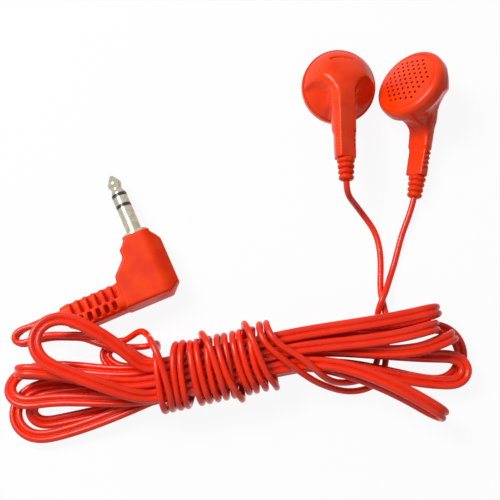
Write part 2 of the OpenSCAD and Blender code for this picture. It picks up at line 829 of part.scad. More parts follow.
// Crest that leads the stem's ridge and its edge up over the dome to the top of the seam
module shell_crest(side) {
  hull() {
    translate([0, 0, shell_seam - 0.4])
      cylinder(r = shell_r - 0.05, h = 0.4, $fn = 64);
    for (p = [[0, 0.5], [12, 0.8], [24, 1.6], [34, 2.8]])
      crest_ball(-side * p[1], stem_lean + p[0], crest_round, 0.5);
    for (p = [[0, 2.1], [12, 2.1], [24, 2.3], [36, 2.6]])
      crest_ball(side * p[1], stem_lean + p[0], crest_round - 1.3, 0.5);
    crest_ball(-side * 2.1, stem_lean, crest_round - 1.3, 0.5);
  }
}

// Ball of radius r that touches from inside an arc about the crest's middle, at angle f
module crest_ball(x, f, arc, r) {
  translate([x, crest_mid[0] + (arc - r) * sin(f), crest_mid[1] - (arc - r) * cos(f)])
    sphere(r = r, $fn = 32);
}

module rear_shell(side) {
  color(shell_red)
    bud_place(side)
      difference() {
        union() {
          intersection() {
            translate([0, 0, shell_z])
              sphere(r = shell_sphere, $fn = 96);
            translate([0, 0, shell_seam - 10])
              cylinder(r = 12, h = 10, $fn = 96);
          }
          translate([0, 0, shell_seam - eps])
            cylinder(r = rim_r - wall - 0.05, h = 0.8, $fn = 96);
          stem_place()
            stem_solid(side);
          shell_crest(side);
          neck_web();
        }
        intersection() {
          translate([0, 0, shell_z])
            sphere(r = shell_sphere - 1, $fn = 96);
          translate([0, 0, shell_seam - 10])
            cylinder(r = 12, h = 10 + eps, $fn = 96);
        }
        translate([0, 0, shell_seam - eps])
          cylinder(r = lip_r, h = 3, $fn = 96);
        stem_place() {
          translate([0, 0, 6])
            cylinder(r = 1.2, h = stem_len, $fn = 40);
          for (i = [0 : 3])
            translate([side * 2.75, -0.4, 12.3 + i * 1.15])
              rotate([35, 0, 0])
                cube([2.1, 5, 0.35], center = true);
        }
        translate([0, -5.9, -10.6])
          cylinder(r = 1, h = 6, $fn = 40);
        rotate([0, 0, 57])
          rotate_extrude(angle = 66, $fn = 96)
            translate([5.9, -9])
              square([0.6, 6]);
      }
}

module lead_clamp(side) {
  color(nickel)
    bud_place(side)
      stem_place()
        translate([0, 0, clamp_z]) {
          tube(bore_r + 0.03, 1.15, 0, clamp_band);
          tube(bore_r + 0.03, 1.0, clamp_band - 0.1, clamp_band + clamp_waist + 0.1);
          tube(bore_r + 0.03, 1.15, clamp_band + clamp_waist, 2 * clamp_band + clamp_waist);
        }
}

module strain_relief(side) {
  color(shell_red)
    bud_place(side)
      stem_place()
        difference() {
          union() {
            translate([0, 0, stem_len - 1.4])
              cylinder(r = 1.17, h = 1.5, $fn = 40);
            translate([0, 0, stem_len])
              cylinder(r1 = relief_r1 - 0.35, r2 = relief_r2 - 0.35, h = relief_len, $fn = 48);
            for (i = [0 : 3])
              translate([0, 0, stem_len + (i + 0.5) * relief_len / 4])
                rotate_extrude($fn = 48)
                  translate([relief_r1 - 0.6 - i * 0.1, 0])
                    intersection() {
                      circle(r = 0.6, $fn = 24);
                      translate([-0.2, -0.55])
                        square([1, 1.1]);
                    }
          }
          translate([0, 0, stem_len - 2])
            cylinder(r = bore_r, h = relief_len + 3, $fn = 40);
        }
}

module left_front_cover() {
  front_cover(-1);
}

module left_grille_cloth() {
  grille_cloth(-1);
}

module left_driver_frame() {
  driver_frame(-1);
}

module left_surround() {
  surround(-1);
}

module left_diaphragm() {
  diaphragm(-1);
}

module left_voice_coil() {
  voice_coil(-1);
}

module left_pole_plate() {
  pole_plate(-1);
}

module left_magnet() {
  magnet(-1);
}

module left_yoke() {
  yoke(-1);
}

module left_terminal_board() {
  terminal_board(-1);
}

module left_vent_felt() {
  vent_felt(-1);
}

module left_rear_shell() {
  rear_shell(-1);
}

module left_lead_clamp() {
  lead_clamp(-1);
}

module left_strain_relief() {
  strain_relief(-1);
}

module right_front_cover() {
  front_cover(1);
}

module right_grille_cloth() {
  grille_cloth(1);
}

module right_driver_frame() {
  driver_frame(1);
}

module right_surround() {
  surround(1);
}

module right_diaphragm() {
  diaphragm(1);
}

module right_voice_coil() {
  voice_coil(1);
}

module right_pole_plate() {
  pole_plate(1);
}

module right_magnet() {
  magnet(1);
}

module right_yoke() {
  yoke(1);
}

module right_terminal_board() {
  terminal_board(1);
}

module right_vent_felt() {
  vent_felt(1);
}

module right_rear_shell() {
  rear_shell(1);
}

module right_lead_clamp() {
  lead_clamp(1);
}

module right_strain_relief() {
  strain_relief(1);
}

echo(str("hank: least gap to itself ", self_gap(hank_strands, hank_path, lead_d, 9), " mm"));
echo(str("left winding: least gap to itself ",
         self_gap([left_wound], left_wound, lead_d, 9), " mm"));
echo(str("right winding: least gap to itself ",
         self_gap([right_wound], right_wound, lead_d, 9), " mm"));
echo(str("lengths in mm: main lead ", last(run_of(main_path)), ", hank ",
         last(run_of(hank_path)), ", left lead ", last(run_of(left_path)),
         ", right lead ", last(run_of(right_path))));

translate(frame_shift) {
  left_front_cover();
  left_grille_cloth();
  left_driver_frame();
  left_surround();
  left_diaphragm();
  left_voice_coil();
  left_pole_plate();
  left_magnet();
  left_yoke();
  left_terminal_board();
  left_vent_felt();
  left_rear_shell();
  left_lead_clamp();
  left_strain_relief();
  right_front_cover();
  right_grille_cloth();
  right_driver_frame();
  right_surround();
  right_diaphragm();
  right_voice_coil();
  right_pole_plate();
  right_magnet();
  right_yoke();
  right_terminal_board();
  right_vent_felt();
  right_rear_shell();
  right_lead_clamp();
  right_strain_relief();
  plug_body();
  jack_sleeve();
  jack_ring();
  jack_tip();
  jack_rear_insulator();
  jack_front_insulator();
  jack_carrier();
  main_lead();
  cord_hank();
  left_winding();
  right_winding();
  left_lead();
  right_lead();
}
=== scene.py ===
import json
import math

import bpy
import numpy as np
from mathutils import Matrix, Vector


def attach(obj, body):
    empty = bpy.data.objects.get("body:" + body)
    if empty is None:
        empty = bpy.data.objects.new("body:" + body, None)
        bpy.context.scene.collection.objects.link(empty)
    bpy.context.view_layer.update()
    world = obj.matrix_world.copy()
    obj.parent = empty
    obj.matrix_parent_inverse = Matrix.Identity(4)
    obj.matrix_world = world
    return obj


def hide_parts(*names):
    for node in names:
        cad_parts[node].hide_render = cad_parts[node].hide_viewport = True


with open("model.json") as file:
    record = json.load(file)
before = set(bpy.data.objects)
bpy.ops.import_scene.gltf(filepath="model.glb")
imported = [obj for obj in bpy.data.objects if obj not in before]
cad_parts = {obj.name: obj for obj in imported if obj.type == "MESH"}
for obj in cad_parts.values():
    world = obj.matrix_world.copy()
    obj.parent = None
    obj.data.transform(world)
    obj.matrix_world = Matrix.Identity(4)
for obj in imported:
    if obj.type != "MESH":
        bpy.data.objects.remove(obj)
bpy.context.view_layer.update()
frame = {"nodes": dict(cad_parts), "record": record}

# Lengths in this script are millimetres until metres() turns them into the frame's metres.
MM = 0.001
# From the origin that places are laid from to the frame's, which lies amid the earbuds
SHIFT = np.array([0.9, 1.4, 0.0])
BODY = "earphones"


def metres(points):
    """Listed points in millimetres, as points of the frame in metres."""
    return (np.asarray(points, float) + SHIFT) * MM


def place(at, turn=(0, 0, 0)):
    """Frame of a piece that lies at a point, turned about X, then Y, then Z, in degrees."""
    x, y, z = (Matrix.Rotation(math.radians(a), 4, axis) for a, axis in zip(turn, "XYZ"))
    return Matrix.Translation(Vector(metres(at))) @ z @ y @ x @ Matrix.Scale(MM, 4)


# ------------------------------------------------------------------ camera and lamps
CAMERA_TILT = math.radians(14)
CAMERA_DISTANCE = 200
CAMERA_AIM = np.array([-29, -30.5, 0])
SENSOR = 36
LENS = 63.36
# In metres
CLIP_NEAR, CLIP_FAR = 0.01, 20
# Where the lamps point
AIM = (-25, -30, 5)
# Name, place, side of its square, and watts
LAMPS = [
    ("key_lamp", (-330, 160, 420), 230, 3.3),
    ("fill_lamp", (150, -420, 430), 400, 0.3),
]


def make_camera():
    """Camera that leans back from straight above the middle of the whole."""
    data = bpy.data.cameras.new("camera")
    data.sensor_width, data.lens = SENSOR, LENS
    data.clip_start, data.clip_end = CLIP_NEAR, CLIP_FAR
    camera = bpy.data.objects.new("camera", data)
    back = np.array([0, -math.sin(CAMERA_TILT), math.cos(CAMERA_TILT)])
    camera.location = metres(CAMERA_AIM + CAMERA_DISTANCE * back)
    camera.rotation_euler = (CAMERA_TILT, 0, 0)
    bpy.context.collection.objects.link(camera)
    bpy.context.scene.camera = camera


def make_lamp(name, at, aim, size, watts):
    """Square soft lamp at a point in millimetres, facing another."""
    data = bpy.data.lights.new(name, "AREA")
    data.shape, data.size, data.energy = "SQUARE", size * MM, watts
    lamp = bpy.data.objects.new(name, data)
    lamp.location = metres(at)
    lamp.rotation_euler = Vector(metres(at) - metres(aim)).to_track_quat("Z", "Y").to_euler()
    bpy.context.collection.objects.link(lamp)


make_camera()
for lamp_name, lamp_at, lamp_size, lamp_watts in LAMPS:
    make_lamp(lamp_name, lamp_at, AIM, lamp_size, lamp_watts)


# ------------------------------------------------------------------ cord sizes
LEAD_D = 1.3
LEAD_R = LEAD_D / 2
TWIN_W = 2 * LEAD_D
# The tie round the middle of the hank: its middle, its turn from the X axis, half its length,
# and the pitches of the columns and rows of strands that it holds
HANK_C = np.array([-35.5, -57.8, 5.8])
HANK_TURN = math.radians(12.5)
HANK_HALF = 14.5
COL_GAP, ROW_GAP = 0.5, 0.48
COL_PITCH = TWIN_W + COL_GAP
ROW_PITCH = LEAD_D + ROW_GAP
ALONG = np.array([math.cos(HANK_TURN), math.sin(HANK_TURN), 0])
ACROSS = np.array([-math.sin(HANK_TURN), math.cos(HANK_TURN), 0])
UP = np.array([0, 0, 1.0])
# The winding: its turns, half its width and height, how square its section is, how far it
# hangs below the tie's middle, and the points of one turn
TURNS = 7
WIND_A = 6.5
WIND_B = 5.1
WIND_SQUARE = 2 / 3
WIND_DROP = 0.05
WIND_STEPS = 24
STRAND_RINGS = 8
TIP_RINGS = 8
WAIST_RINGS = 2
START_BACK = 12.5
HANK_START = HANK_C - ALONG * START_BACK + ACROSS * COL_PITCH + UP * ROW_PITCH / 2
# How strongly a flat cord turns back to lying level, at each of its points
LEVEL_PULL = 0.35

# One fold of the hank: side, slot out, slot back, tip, heading, tilt, radius, length of the
# bend, pitch, and the reaches of its two strands, as in the CAD model.
LOBES = [
    (1, (2, 2), (2, 3), (11.5, -45.7, 7.25), 14, -90, 3.4, 3.4, 0, (0.65, 0.3, 0.3, 0.35)),
    (-1, (2, 3), (0, 3), (-73.8, -51.0, 11.1), 158, 186, 5.2, 6.0, 0, (0.12, 0.1, 0.6, 0.8)),
    (1, (0, 3), (0, 2), (11.6, -68.0, 6.5), -29, 90, 3.4, 3.4, -15, (0.35, 0.25, 0.35, 0.35)),
    (-1, (0, 2), (2, 1), (-80.8, -62.2, 2.7), 190, 25, 4.2, 5.0, 0, (0.35, 0.35, 0.35, 0.35)),
    (1, (2, 1), (1, 3), (11.1, -49.1, 7.1), 16, -85, 3.3, 3.4, 0, (0.35, 0.3, 0.4, 0.4)),
    (-1, (1, 3), (1, 2), (-78.7, -58.7, 5.7), 180, 90, 2.7, 2.7, 0, (0.35, 0.35, 0.35, 0.35)),
    (1, (1, 2), (1, 0), (15.0, -50.8, 5.4), 25, 95, 3.1, 3.4, 0, (0.35, 0.45, 0.35, 0.35)),
    (-1, (1, 0), (0, 1), (-79.6, -67.7, 1.5), 190, 188, 5.6, 6.5, 0, (0.1, 0.03, 0.35, 0.35)),
    (1, (0, 1), (1, 1), (17.5, -58.1, 4.3), 0, 180, 2.85, 3.4, 0, (0.33, 0.25, 0.35, 0.35)),
    (-1, (1, 1), (0, 0), (-76.2, -67.0, 1.4), 190, 165, 2.8, 3.4, 0, (0.25, 0.03, 0.35, 0.35)),
    (1, (0, 0), (2, 0), (17.3, -54.6, 1.6), -2, 180, 6.0, 5.6, -0.5, (0.42, 0.4, 0.25, 0.3)),
]
# Twin cord from its last fold to the split under the tie's mouth
SPLIT_ROUTE = [
    (-54.2, -57.9, 2.9), (-57.2, -57.7, 2.4), (-59.7, -56.5, 1.8), (-60.9, -54.7, 1.5),
    (-60.2, -53.0, 1.4), (-58.4, -52.2, 1.5), (-56.6, -52.1, 1.7),
]
# Twin cord from the plug to the tie: x, y, z and its twist from level, in degrees
MAIN_ROUTE = [
    (-73.2, -47.2, 2.4, 30), (-76.9, -48.1, 1.8, 70), (-79.8, -49.2, 1.5, 90),
    (-81.1, -50.8, 1.5, 90), (-79.8, -52.3, 1.5, 90), (-76.6, -51.5, 1.9, 80),
    (-72.9, -50.6, 2.6, 70), (-69.1, -50.8, 3.8, 75), (-65.3, -51.0, 5.0, 70),
    (-61.2, -52.1, 5.9, 30), (-57.6, -53.3, 6.4, 0), (-54.2, -55.2, 6.7, 0),
    (-51.4, -56.9, 6.7, 0),
]
# Each lead from its last turn to the relief of its earbud
LEFT_ROUTE = [
    (-27.1, -48.6, 8), (-27.1, -49.5, 9.8), (-26.9, -51.3, 11.1), (-25.9, -53.3, 11.4),
    (-24.1, -55.1, 11.3), (-21.7, -56.9, 10.9), (-18.8, -58.9, 9.8), (-15.4, -60.8, 7.2),
    (-11.4, -62, 4), (-8.2, -62.5, 1.7), (-5.2, -62.3, 0.7), (-2.4, -61.4, 0.7),
    (-0.1, -59.1, 0.7), (0.9, -55.1, 0.7), (1.2, -50.3, 0.7), (1.2, -45.4, 0.7),
    (0.8, -43.3, 0.7), (0.2, -40.8, 0.7), (0.3, -37.1, 0.7), (0.5, -33.5, 0.7),
    (0.2, -29.3, 0.7), (-0.6, -26.4, 0.7), (-1.6, -24.7, 0.9), (-3, -23.1, 1.7),
    (-4.3, -21.9, 3.1), (-5.5, -21, 4.9), (-6.6, -20.4, 6.6), (-7.5, -19.6, 8.2),
]
RIGHT_ROUTE = [
    (-25.6, -48.3, 8), (-25.5, -49.2, 9.8), (-25.1, -50.9, 11.1), (-23.9, -52.7, 11.4),
    (-22, -54.2, 11.2), (-19.5, -55.6, 10.9), (-16.8, -57.4, 10.8), (-13.8, -60, 9.2),
    (-10.9, -60.9, 6), (-7.7, -60.7, 3.2), (-4.1, -59.7, 1.1), (-1.8, -57.8, 0.7),
    (-0.8, -54.5, 0.7), (-0.5, -50, 0.7), (-0.8, -46, 0.7), (-0.5, -44.3, 1.7),
    (0.2, -42.5, 2.5), (1.3, -40.2, 1.9), (2.1, -37.9, 1), (3.1, -35.2, 0.7), (4.1, -32, 0.7),
    (4.9, -29.1, 0.7), (5.8, -26.3, 0.8), (7, -23.4, 1.2),
]
# Turns of each lead round the tie: place along it at the far side, on top and at the near
# side, then the lift off the tie at these three, as in the CAD model.
LEFT_ROWS = [
    (-13.3, -11.3, -11.5, 2.8, 0.9, 0),
    (-6.5, -8.0, -8.2, 0.4, 0, 0),
    (-3.6, -4.0, -3.5, 0, 0, 0),
    (-0.9, -2.1, -1.7, 0, 0, 0),
    (0.9, 0.8, 3.3, 0, 0.8, 1.2),
    (5.7, 5.4, 6.7, 0, 0, 0),
    (8.6, 7.25, 8.7, 0, 0, 0),
    (10.4, 10.4, 10.4, 0.5, 0, 0),
]
RIGHT_ROWS = [
    (-12.2, -12.9, -13.1, 0, 0, 0),
    (-8.0, -9.55, -9.75, 0.4, 0, 0),
    (-5.05, -5.5, -5.2, 0, 0, 0),
    (-2.3, -0.6, 0.1, 1.4, 1.2, 0),
    (2.35, 2.05, 1.9, 0, -0.55, 0),
    (4.2, 3.9, 5.1, 0, 0, 0),
    (7.1, 8.5, 11.0, 1.5, 1.2, 0.3),
    (11.9, 11.9, 11.9, 0.5, 0, 0),
]
# Each lead from the split to its first turn
LEFT_WAY = [(-54.5, -50.5, 3), (-52.4, -49.3, 4.8)]
RIGHT_WAY = [(-53.7, -52.9, 1.3), (-50.6, -52.6, 1.9), (-49.1, -51.9, 3.8)]

# ------------------------------------------------------------------ earbud and plug places
# The middle of each rim, and its turns about X, then Y, then Z, in degrees
LEFT_AT, LEFT_TURN = (-8.55, 8.1, 1.85), (-14, 184, 0.5)
RIGHT_AT, RIGHT_TURN = (6.72, 6.55, 9.7), (-6.3, -45.3, -14.4)
STEM_BACK = 9
STEM_LEAN = math.radians(12)
STEM_LEN = 18
RELIEF_LEN = 5.1
CLAMP_DEEP = 3.6
PLUG_AT = np.array([-54.7, -27.5, 3.7])
PLUG_TURN = 24
BOOT_END, EXIT_Y, EXIT_Z = -21.5, -11, -0.5


def unit(v):
    return v / np.linalg.norm(v)


def turned(p, turn):
    """Point turned about X, then Y, then Z, by angles in degrees."""
    m = Matrix.Identity(3)
    for a, axis in zip(turn, "XYZ"):
        m = Matrix.Rotation(math.radians(a), 3, axis) @ m
    return np.array(m @ Vector(p))


def stem_point(at, turn, l):
    """Point on a stem's axis, at a distance down it."""
    local = (0, -l * math.cos(STEM_LEAN), -STEM_BACK - l * math.sin(STEM_LEAN))
    return np.array(at) + turned(local, turn)


# ------------------------------------------------------------------ cord paths
def bend(a0, a1, a2, a3, n):
    """Cubic curve from a0 to a3, without its first point."""
    t = (np.arange(1, n + 1) / n)[:, None]
    s = 1 - t
    return s**3 * a0 + 3 * s * s * t * a1 + 3 * s * t * t * a2 + t**3 * a3


def straight(p, q, n):
    """Points from p to q, without p."""
    return p + (q - p) * (np.arange(1, n + 1) / n)[:, None]


def slot_at(slot, side):
    """Middle of a slot at one mouth of the tie."""
    column, row = slot
    return (HANK_C + ALONG * HANK_HALF * side + ACROSS * COL_PITCH * (column - 1)
            + UP * ROW_PITCH * (row - 1.5))


def lobe_path(lobe):
    """One fold of the hank, from its slot out to its slot back."""
    side, out, back, tip, heading, tilt, radius, length, pitch, reach = lobe
    heading, tilt, pitch = (math.radians(a) for a in (heading, tilt, pitch))
    p0, p1 = slot_at(out, side), slot_at(back, side)
    away = ALONG * side
    e = np.array([math.cos(heading) * math.cos(pitch), math.sin(heading) * math.cos(pitch),
                  math.sin(pitch)])
    level_side = unit(np.array([-e[1], e[0], 0]))
    n = math.cos(tilt) * level_side + math.sin(tilt) * np.cross(e, level_side)
    mid = np.array(tip) - e * length
    a, b = mid + n * radius, mid - n * radius
    la, lb = np.linalg.norm(a - p0), np.linalg.norm(b - p1)
    f = (math.pi * np.arange(1, TIP_RINGS + 1) / TIP_RINGS)[:, None]
    return np.vstack([
        bend(p0, p0 + away * reach[0] * la, a - e * reach[2] * la, a, STRAND_RINGS),
        mid + e * length * np.sin(f) + n * radius * np.cos(f),
        bend(b, b - e * reach[3] * lb, p1 + away * reach[1] * lb, p1, STRAND_RINGS),
    ])


def folded():
    """The hank from its start to the end of its last fold."""
    path = HANK_START[None]
    for lobe in LOBES:
        path = np.vstack([path, straight(path[-1], slot_at(lobe[1], lobe[0]), WAIST_RINGS),
                          lobe_path(lobe)])
    return path


def tangents(path, first, last):
    """Unit direction at each point of a path, with given ones at its ends."""
    t = np.empty_like(path)
    t[1:-1] = path[2:] - path[:-2]
    t[0], t[-1] = first, last
    return t / np.linalg.norm(t, axis=1)[:, None]


def carried_widths(t, w):
    """Width directions of a flat cord, carried along it and drawn towards level."""
    found = [unit(w - (w @ t[0]) * t[0])]
    for d in t[1:]:
        v = found[-1] - (found[-1] @ d) * d
        h = np.cross(UP, d)
        u = v + (LEVEL_PULL if h @ v >= 0 else -LEVEL_PULL) * h
        found.append(unit(u - (u @ d) * d))
    return np.array(found)


def level_width(d, twist):
    """Level width direction, turned about the cord by an angle in degrees."""
    h = unit(np.cross(UP, d))
    a = math.radians(twist)
    return math.cos(a) * h + math.sin(a) * np.cross(d, h)


def over(a, b, c, u):
    """Value at u of the curve through a at 1, b at 0 and c at -1."""
    return b + (a - c) / 2 * u + ((a + c) / 2 - b) * u * u


def wound(rows):
    """One lead of the winding round the tie, from its rows of places and lifts."""
    points = []
    for i in range(TURNS * WIND_STEPS + 1):
        n = min(i // WIND_STEPS, TURNS - 1)
        f = 2 * math.pi * (i / WIND_STEPS - n)
        u, v = math.cos(f), math.sin(f)
        r, q = rows[n], rows[n + 1]
        near = i / WIND_STEPS - n < 0.5
        if near:
            s, lift = over(r[0], r[1], r[2], u), over(r[3], r[4], r[5], u)
        else:
            s, lift = over(q[0], (r[2] + q[0]) / 2, r[2], u), max(0, over(q[3], 0, r[5], u))
        y = (WIND_A + lift) * math.copysign(abs(u) ** WIND_SQUARE, u)
        z = (WIND_B + (lift if near else 0)) * math.copysign(abs(v) ** WIND_SQUARE, v)
        points.append(HANK_C + ALONG * s + ACROSS * y + UP * (z - WIND_DROP))
    return np.array(points)


def spline(points, step, values=None):
    """Smooth curve through points, with a point about every step, and values carried along."""
    p = np.vstack([2 * points[0] - points[1], points, 2 * points[-1] - points[-2]])
    gaps = np.linalg.norm(np.diff(p, axis=0), axis=1)
    t = np.concatenate([[0], np.cumsum(np.sqrt(np.maximum(gaps, 1e-6)))])
    out, carried = [points[0]], [] if values is None else [values[0]]
    for i in range(1, len(p) - 2):
        h = t[i + 1] - t[i]
        m = [
            (p[j + 1] - p[j]) / (t[j + 1] - t[j]) - (p[j + 1] - p[j - 1]) / (t[j + 1] - t[j - 1])
            + (p[j] - p[j - 1]) / (t[j] - t[j - 1])
            for j in (i, i + 1)
        ]
        n = max(1, math.ceil(gaps[i] / step))
        for k in range(1, n + 1):
            s = k / n
            out.append((2 * s**3 - 3 * s * s + 1) * p[i] + (s**3 - 2 * s * s + s) * h * m[0]
                       + (3 * s * s - 2 * s**3) * p[i + 1] + (s**3 - s * s) * h * m[1])
            if values is not None:
                carried.append((1 - s) * values[i - 1] + s * values[i])
    return np.array(out), np.array(carried)


def twin_path():
    """Centre line and width directions of the twin cord, from the plug to its split."""
    turn = (0, 0, PLUG_TURN)
    boot_exit = PLUG_AT + turned((BOOT_END, EXIT_Y, EXIT_Z), turn)
    main = np.vstack([boot_exit, [p[:3] for p in MAIN_ROUTE], HANK_START])
    t = tangents(main, turned((-1, 0, 0), turn), ALONG)
    twists = [0] + [p[3] for p in MAIN_ROUTE] + [0]
    main_w = np.array([level_width(d, a) for d, a in zip(t, twists)])
    body = folded()
    hank = np.vstack([body, straight(body[-1], slot_at((2, 0), -1), WAIST_RINGS), SPLIT_ROUTE])
    hank_w = carried_widths(tangents(hank, ALONG, hank[-1] - hank[-2]), ACROSS)
    w = np.vstack([main_w, hank_w[1:]])
    for i in range(1, len(w)):
        if w[i] @ w[i - 1] < 0:
            w[i] = -w[i]
    return np.vstack([main, hank[1:]]), w


def lead_path(start, way, rows, route, at, turn):
    """Centre line of one lead, from the split to its clamp inside the stem."""
    relief_end = STEM_LEN + RELIEF_LEN
    foot = [stem_point(at, turn, l) for l in (relief_end, STEM_LEN, STEM_LEN - CLAMP_DEEP)]
    return np.vstack([start, way, wound(rows), route, foot])


# ------------------------------------------------------------------ meshes
def mesh_object(name, points, faces, smooth=True):
    """Object with a mesh of points in metres."""
    mesh = bpy.data.meshes.new(name)
    mesh.from_pydata([tuple(p) for p in points], [], [tuple(f) for f in faces])
    mesh.update()
    if smooth:
        mesh.shade_smooth()
    piece = bpy.data.objects.new(name, mesh)
    bpy.context.collection.objects.link(piece)
    return piece


def swept(name, path, widths, section):
    """Tube along a path: each section point is (share of the width direction, of the other)."""
    t = tangents(path, path[1] - path[0], path[-1] - path[-2])
    w = widths - (widths * t).sum(1)[:, None] * t
    w /= np.linalg.norm(w, axis=1)[:, None]
    n = np.cross(t, w)
    m, rings = len(section), len(path)
    points = (path[:, None] + w[:, None] * section[None, :, :1]
              + n[:, None] * section[None, :, 1:]).reshape(-1, 3)
    faces = [
        (i * m + j, i * m + (j + 1) % m, (i + 1) * m + (j + 1) % m, (i + 1) * m + j)
        for i in range(rings - 1) for j in range(m)
    ]
    faces += [tuple(range(m))[::-1], tuple(range((rings - 1) * m, rings * m))]
    return mesh_object(name, metres(points), faces)


def transported(path, w):
    """Width directions carried along a round cord without twist."""
    t = tangents(path, path[1] - path[0], path[-1] - path[-2])
    found = []
    for d in t:
        w = unit(w - (w @ d) * d)
        found.append(w)
    return np.array(found)


def circle_section(r, n):
    a = 2 * math.pi * np.arange(n) / n
    return np.stack([r * np.cos(a), r * np.sin(a)], 1)


def twin_section(r, web, n):
    """Two round leads side by side, joined by a web, as one outline."""
    a = np.radians(np.linspace(-180 + web, 180 - web, n))
    right = np.stack([r + r * np.cos(a), r * np.sin(a)], 1)
    return np.vstack([right, -right])


# ------------------------------------------------------------------ materials
PER_MM = 1000
# Noise value at which a patch starts and is full, weight of the specks in the wear, and the
# wear that counts as smoothest and roughest
PATCH_FROM, PATCH_FULL = 0.35, 0.65
SPECK_WEIGHT = 0.5
WEAR_LOW, WEAR_HIGH = 0.1, 1.4
# Size of the specks in patches, and of the sinks in grains
SPECK_SHARE, SINK_TIMES = 0.12, 12
PLAIN_SPECULAR = 0.5


def node_group(name, inputs, outputs):
    """Empty shader node group with named inputs and outputs, its nodes and its linker."""
    group = bpy.data.node_groups.new(name, "ShaderNodeTree")
    for label, kind, value in inputs:
        socket = group.interface.new_socket(label, in_out="INPUT", socket_type=kind)
        if value is not None:
            socket.default_value = value
    for label, kind in outputs:
        group.interface.new_socket(label, in_out="OUTPUT", socket_type=kind)
    ends = group.nodes.new("NodeGroupInput"), group.nodes.new("NodeGroupOutput")
    return group, group.nodes, group.links, *ends


def add_node(nodes, kind, **settings):
    """Shader node with its settings."""
    node = nodes.new(kind)
    for name, value in settings.items():
        setattr(node, name, value)
    return node


def add_noise(nodes, links, coordinates, scale, detail, roughness=0.5):
    """Noise at a scale taken from a socket."""
    noise = nodes.new("ShaderNodeTexNoise")
    noise.inputs["Detail"].default_value = detail
    noise.inputs["Roughness"].default_value = roughness
    links.new(coordinates, noise.inputs["Vector"])
    links.new(scale, noise.inputs["Scale"])
    return noise.outputs["Fac"]


def add_range(nodes, links, value, low, high, to_low, to_high):
    """Value taken from one range to another, smoothly; the ends may be sockets or numbers."""
    found = add_node(nodes, "ShaderNodeMapRange", interpolation_type="SMOOTHSTEP")
    links.new(value, found.inputs["Value"])
    ends = {"From Min": low, "From Max": high, "To Min": to_low, "To Max": to_high}
    for name, end in ends.items():
        if isinstance(end, (int, float)):
            found.inputs[name].default_value = end
        else:
            links.new(end, found.inputs[name])
    return found.outputs["Result"]


def make_tone():
    """Two tones and two roughnesses in soft patches, with fine handling specks."""
    group, nodes, links, given, found = node_group(
        "soft_patches",
        [("Coordinates", "NodeSocketVector", None), ("Tone", "NodeSocketColor", None),
         ("Deep Tone", "NodeSocketColor", None), ("Smooth", "NodeSocketFloat", 0.3),
         ("Rough", "NodeSocketFloat", 0.4), ("Patches", "NodeSocketFloat", 200),
         ("Specks", "NodeSocketFloat", 2500)],
        [("Colour", "NodeSocketColor"), ("Roughness", "NodeSocketFloat")],
    )
    at = given.outputs["Coordinates"]
    patches = add_noise(nodes, links, at, given.outputs["Patches"], 3)
    specks = add_noise(nodes, links, at, given.outputs["Specks"], 2, 0.6)
    share = add_range(nodes, links, patches, PATCH_FROM, PATCH_FULL, 0, 1)
    mix = add_node(nodes, "ShaderNodeMix", data_type="RGBA")
    links.new(share, mix.inputs["Factor"])
    links.new(given.outputs["Tone"], mix.inputs["A"])
    links.new(given.outputs["Deep Tone"], mix.inputs["B"])
    worn = add_node(nodes, "ShaderNodeMath", operation="MULTIPLY_ADD")
    links.new(specks, worn.inputs[0])
    worn.inputs[1].default_value = SPECK_WEIGHT
    links.new(share, worn.inputs[2])
    rough = add_range(nodes, links, worn.outputs[0], WEAR_LOW, WEAR_HIGH,
                      given.outputs["Smooth"], given.outputs["Rough"])
    links.new(mix.outputs["Result"], found.inputs["Colour"])
    links.new(rough, found.inputs["Roughness"])
    return group


def make_grain():
    """Height of a fine moulded grain, with long shallow sinks under it."""
    group, nodes, links, given, found = node_group(
        "moulded_grain",
        [("Coordinates", "NodeSocketVector", None), ("Grain", "NodeSocketFloat", 4000),
         ("Sinks", "NodeSocketFloat", 300), ("Sink Share", "NodeSocketFloat", 0.5)],
        [("Height", "NodeSocketFloat")],
    )
    at = given.outputs["Coordinates"]
    grain = add_noise(nodes, links, at, given.outputs["Grain"], 3, 0.6)
    sinks = add_noise(nodes, links, at, given.outputs["Sinks"], 1)
    total = add_node(nodes, "ShaderNodeMath", operation="MULTIPLY_ADD")
    links.new(sinks, total.inputs[0])
    links.new(given.outputs["Sink Share"], total.inputs[1])
    links.new(grain, total.inputs[2])
    links.new(total.outputs[0], found.inputs["Height"])
    return group


def make_lines():
    """Height of fine lines left by turning, drawing or weaving, along two directions."""
    group, nodes, links, given, found = node_group(
        "fine_lines",
        [("Coordinates", "NodeSocketVector", None), ("First", "NodeSocketVector", (1, 0, 0)),
         ("Second", "NodeSocketVector", (0, 1, 0)), ("Lines", "NodeSocketFloat", 3000)],
        [("Height", "NodeSocketFloat")],
    )
    found_lines = []
    for way in ("First", "Second"):
        dot = add_node(nodes, "ShaderNodeVectorMath", operation="DOT_PRODUCT")
        links.new(given.outputs["Coordinates"], dot.inputs[0])
        links.new(given.outputs[way], dot.inputs[1])
        phase = add_node(nodes, "ShaderNodeMath", operation="MULTIPLY")
        links.new(dot.outputs["Value"], phase.inputs[0])
        links.new(given.outputs["Lines"], phase.inputs[1])
        wave = add_node(nodes, "ShaderNodeMath", operation="SINE")
        links.new(phase.outputs[0], wave.inputs[0])
        found_lines.append(wave.outputs[0])
    total = add_node(nodes, "ShaderNodeMath", operation="ADD")
    links.new(found_lines[0], total.inputs[0])
    links.new(found_lines[1], total.inputs[1])
    links.new(total.outputs[0], found.inputs["Height"])
    return group


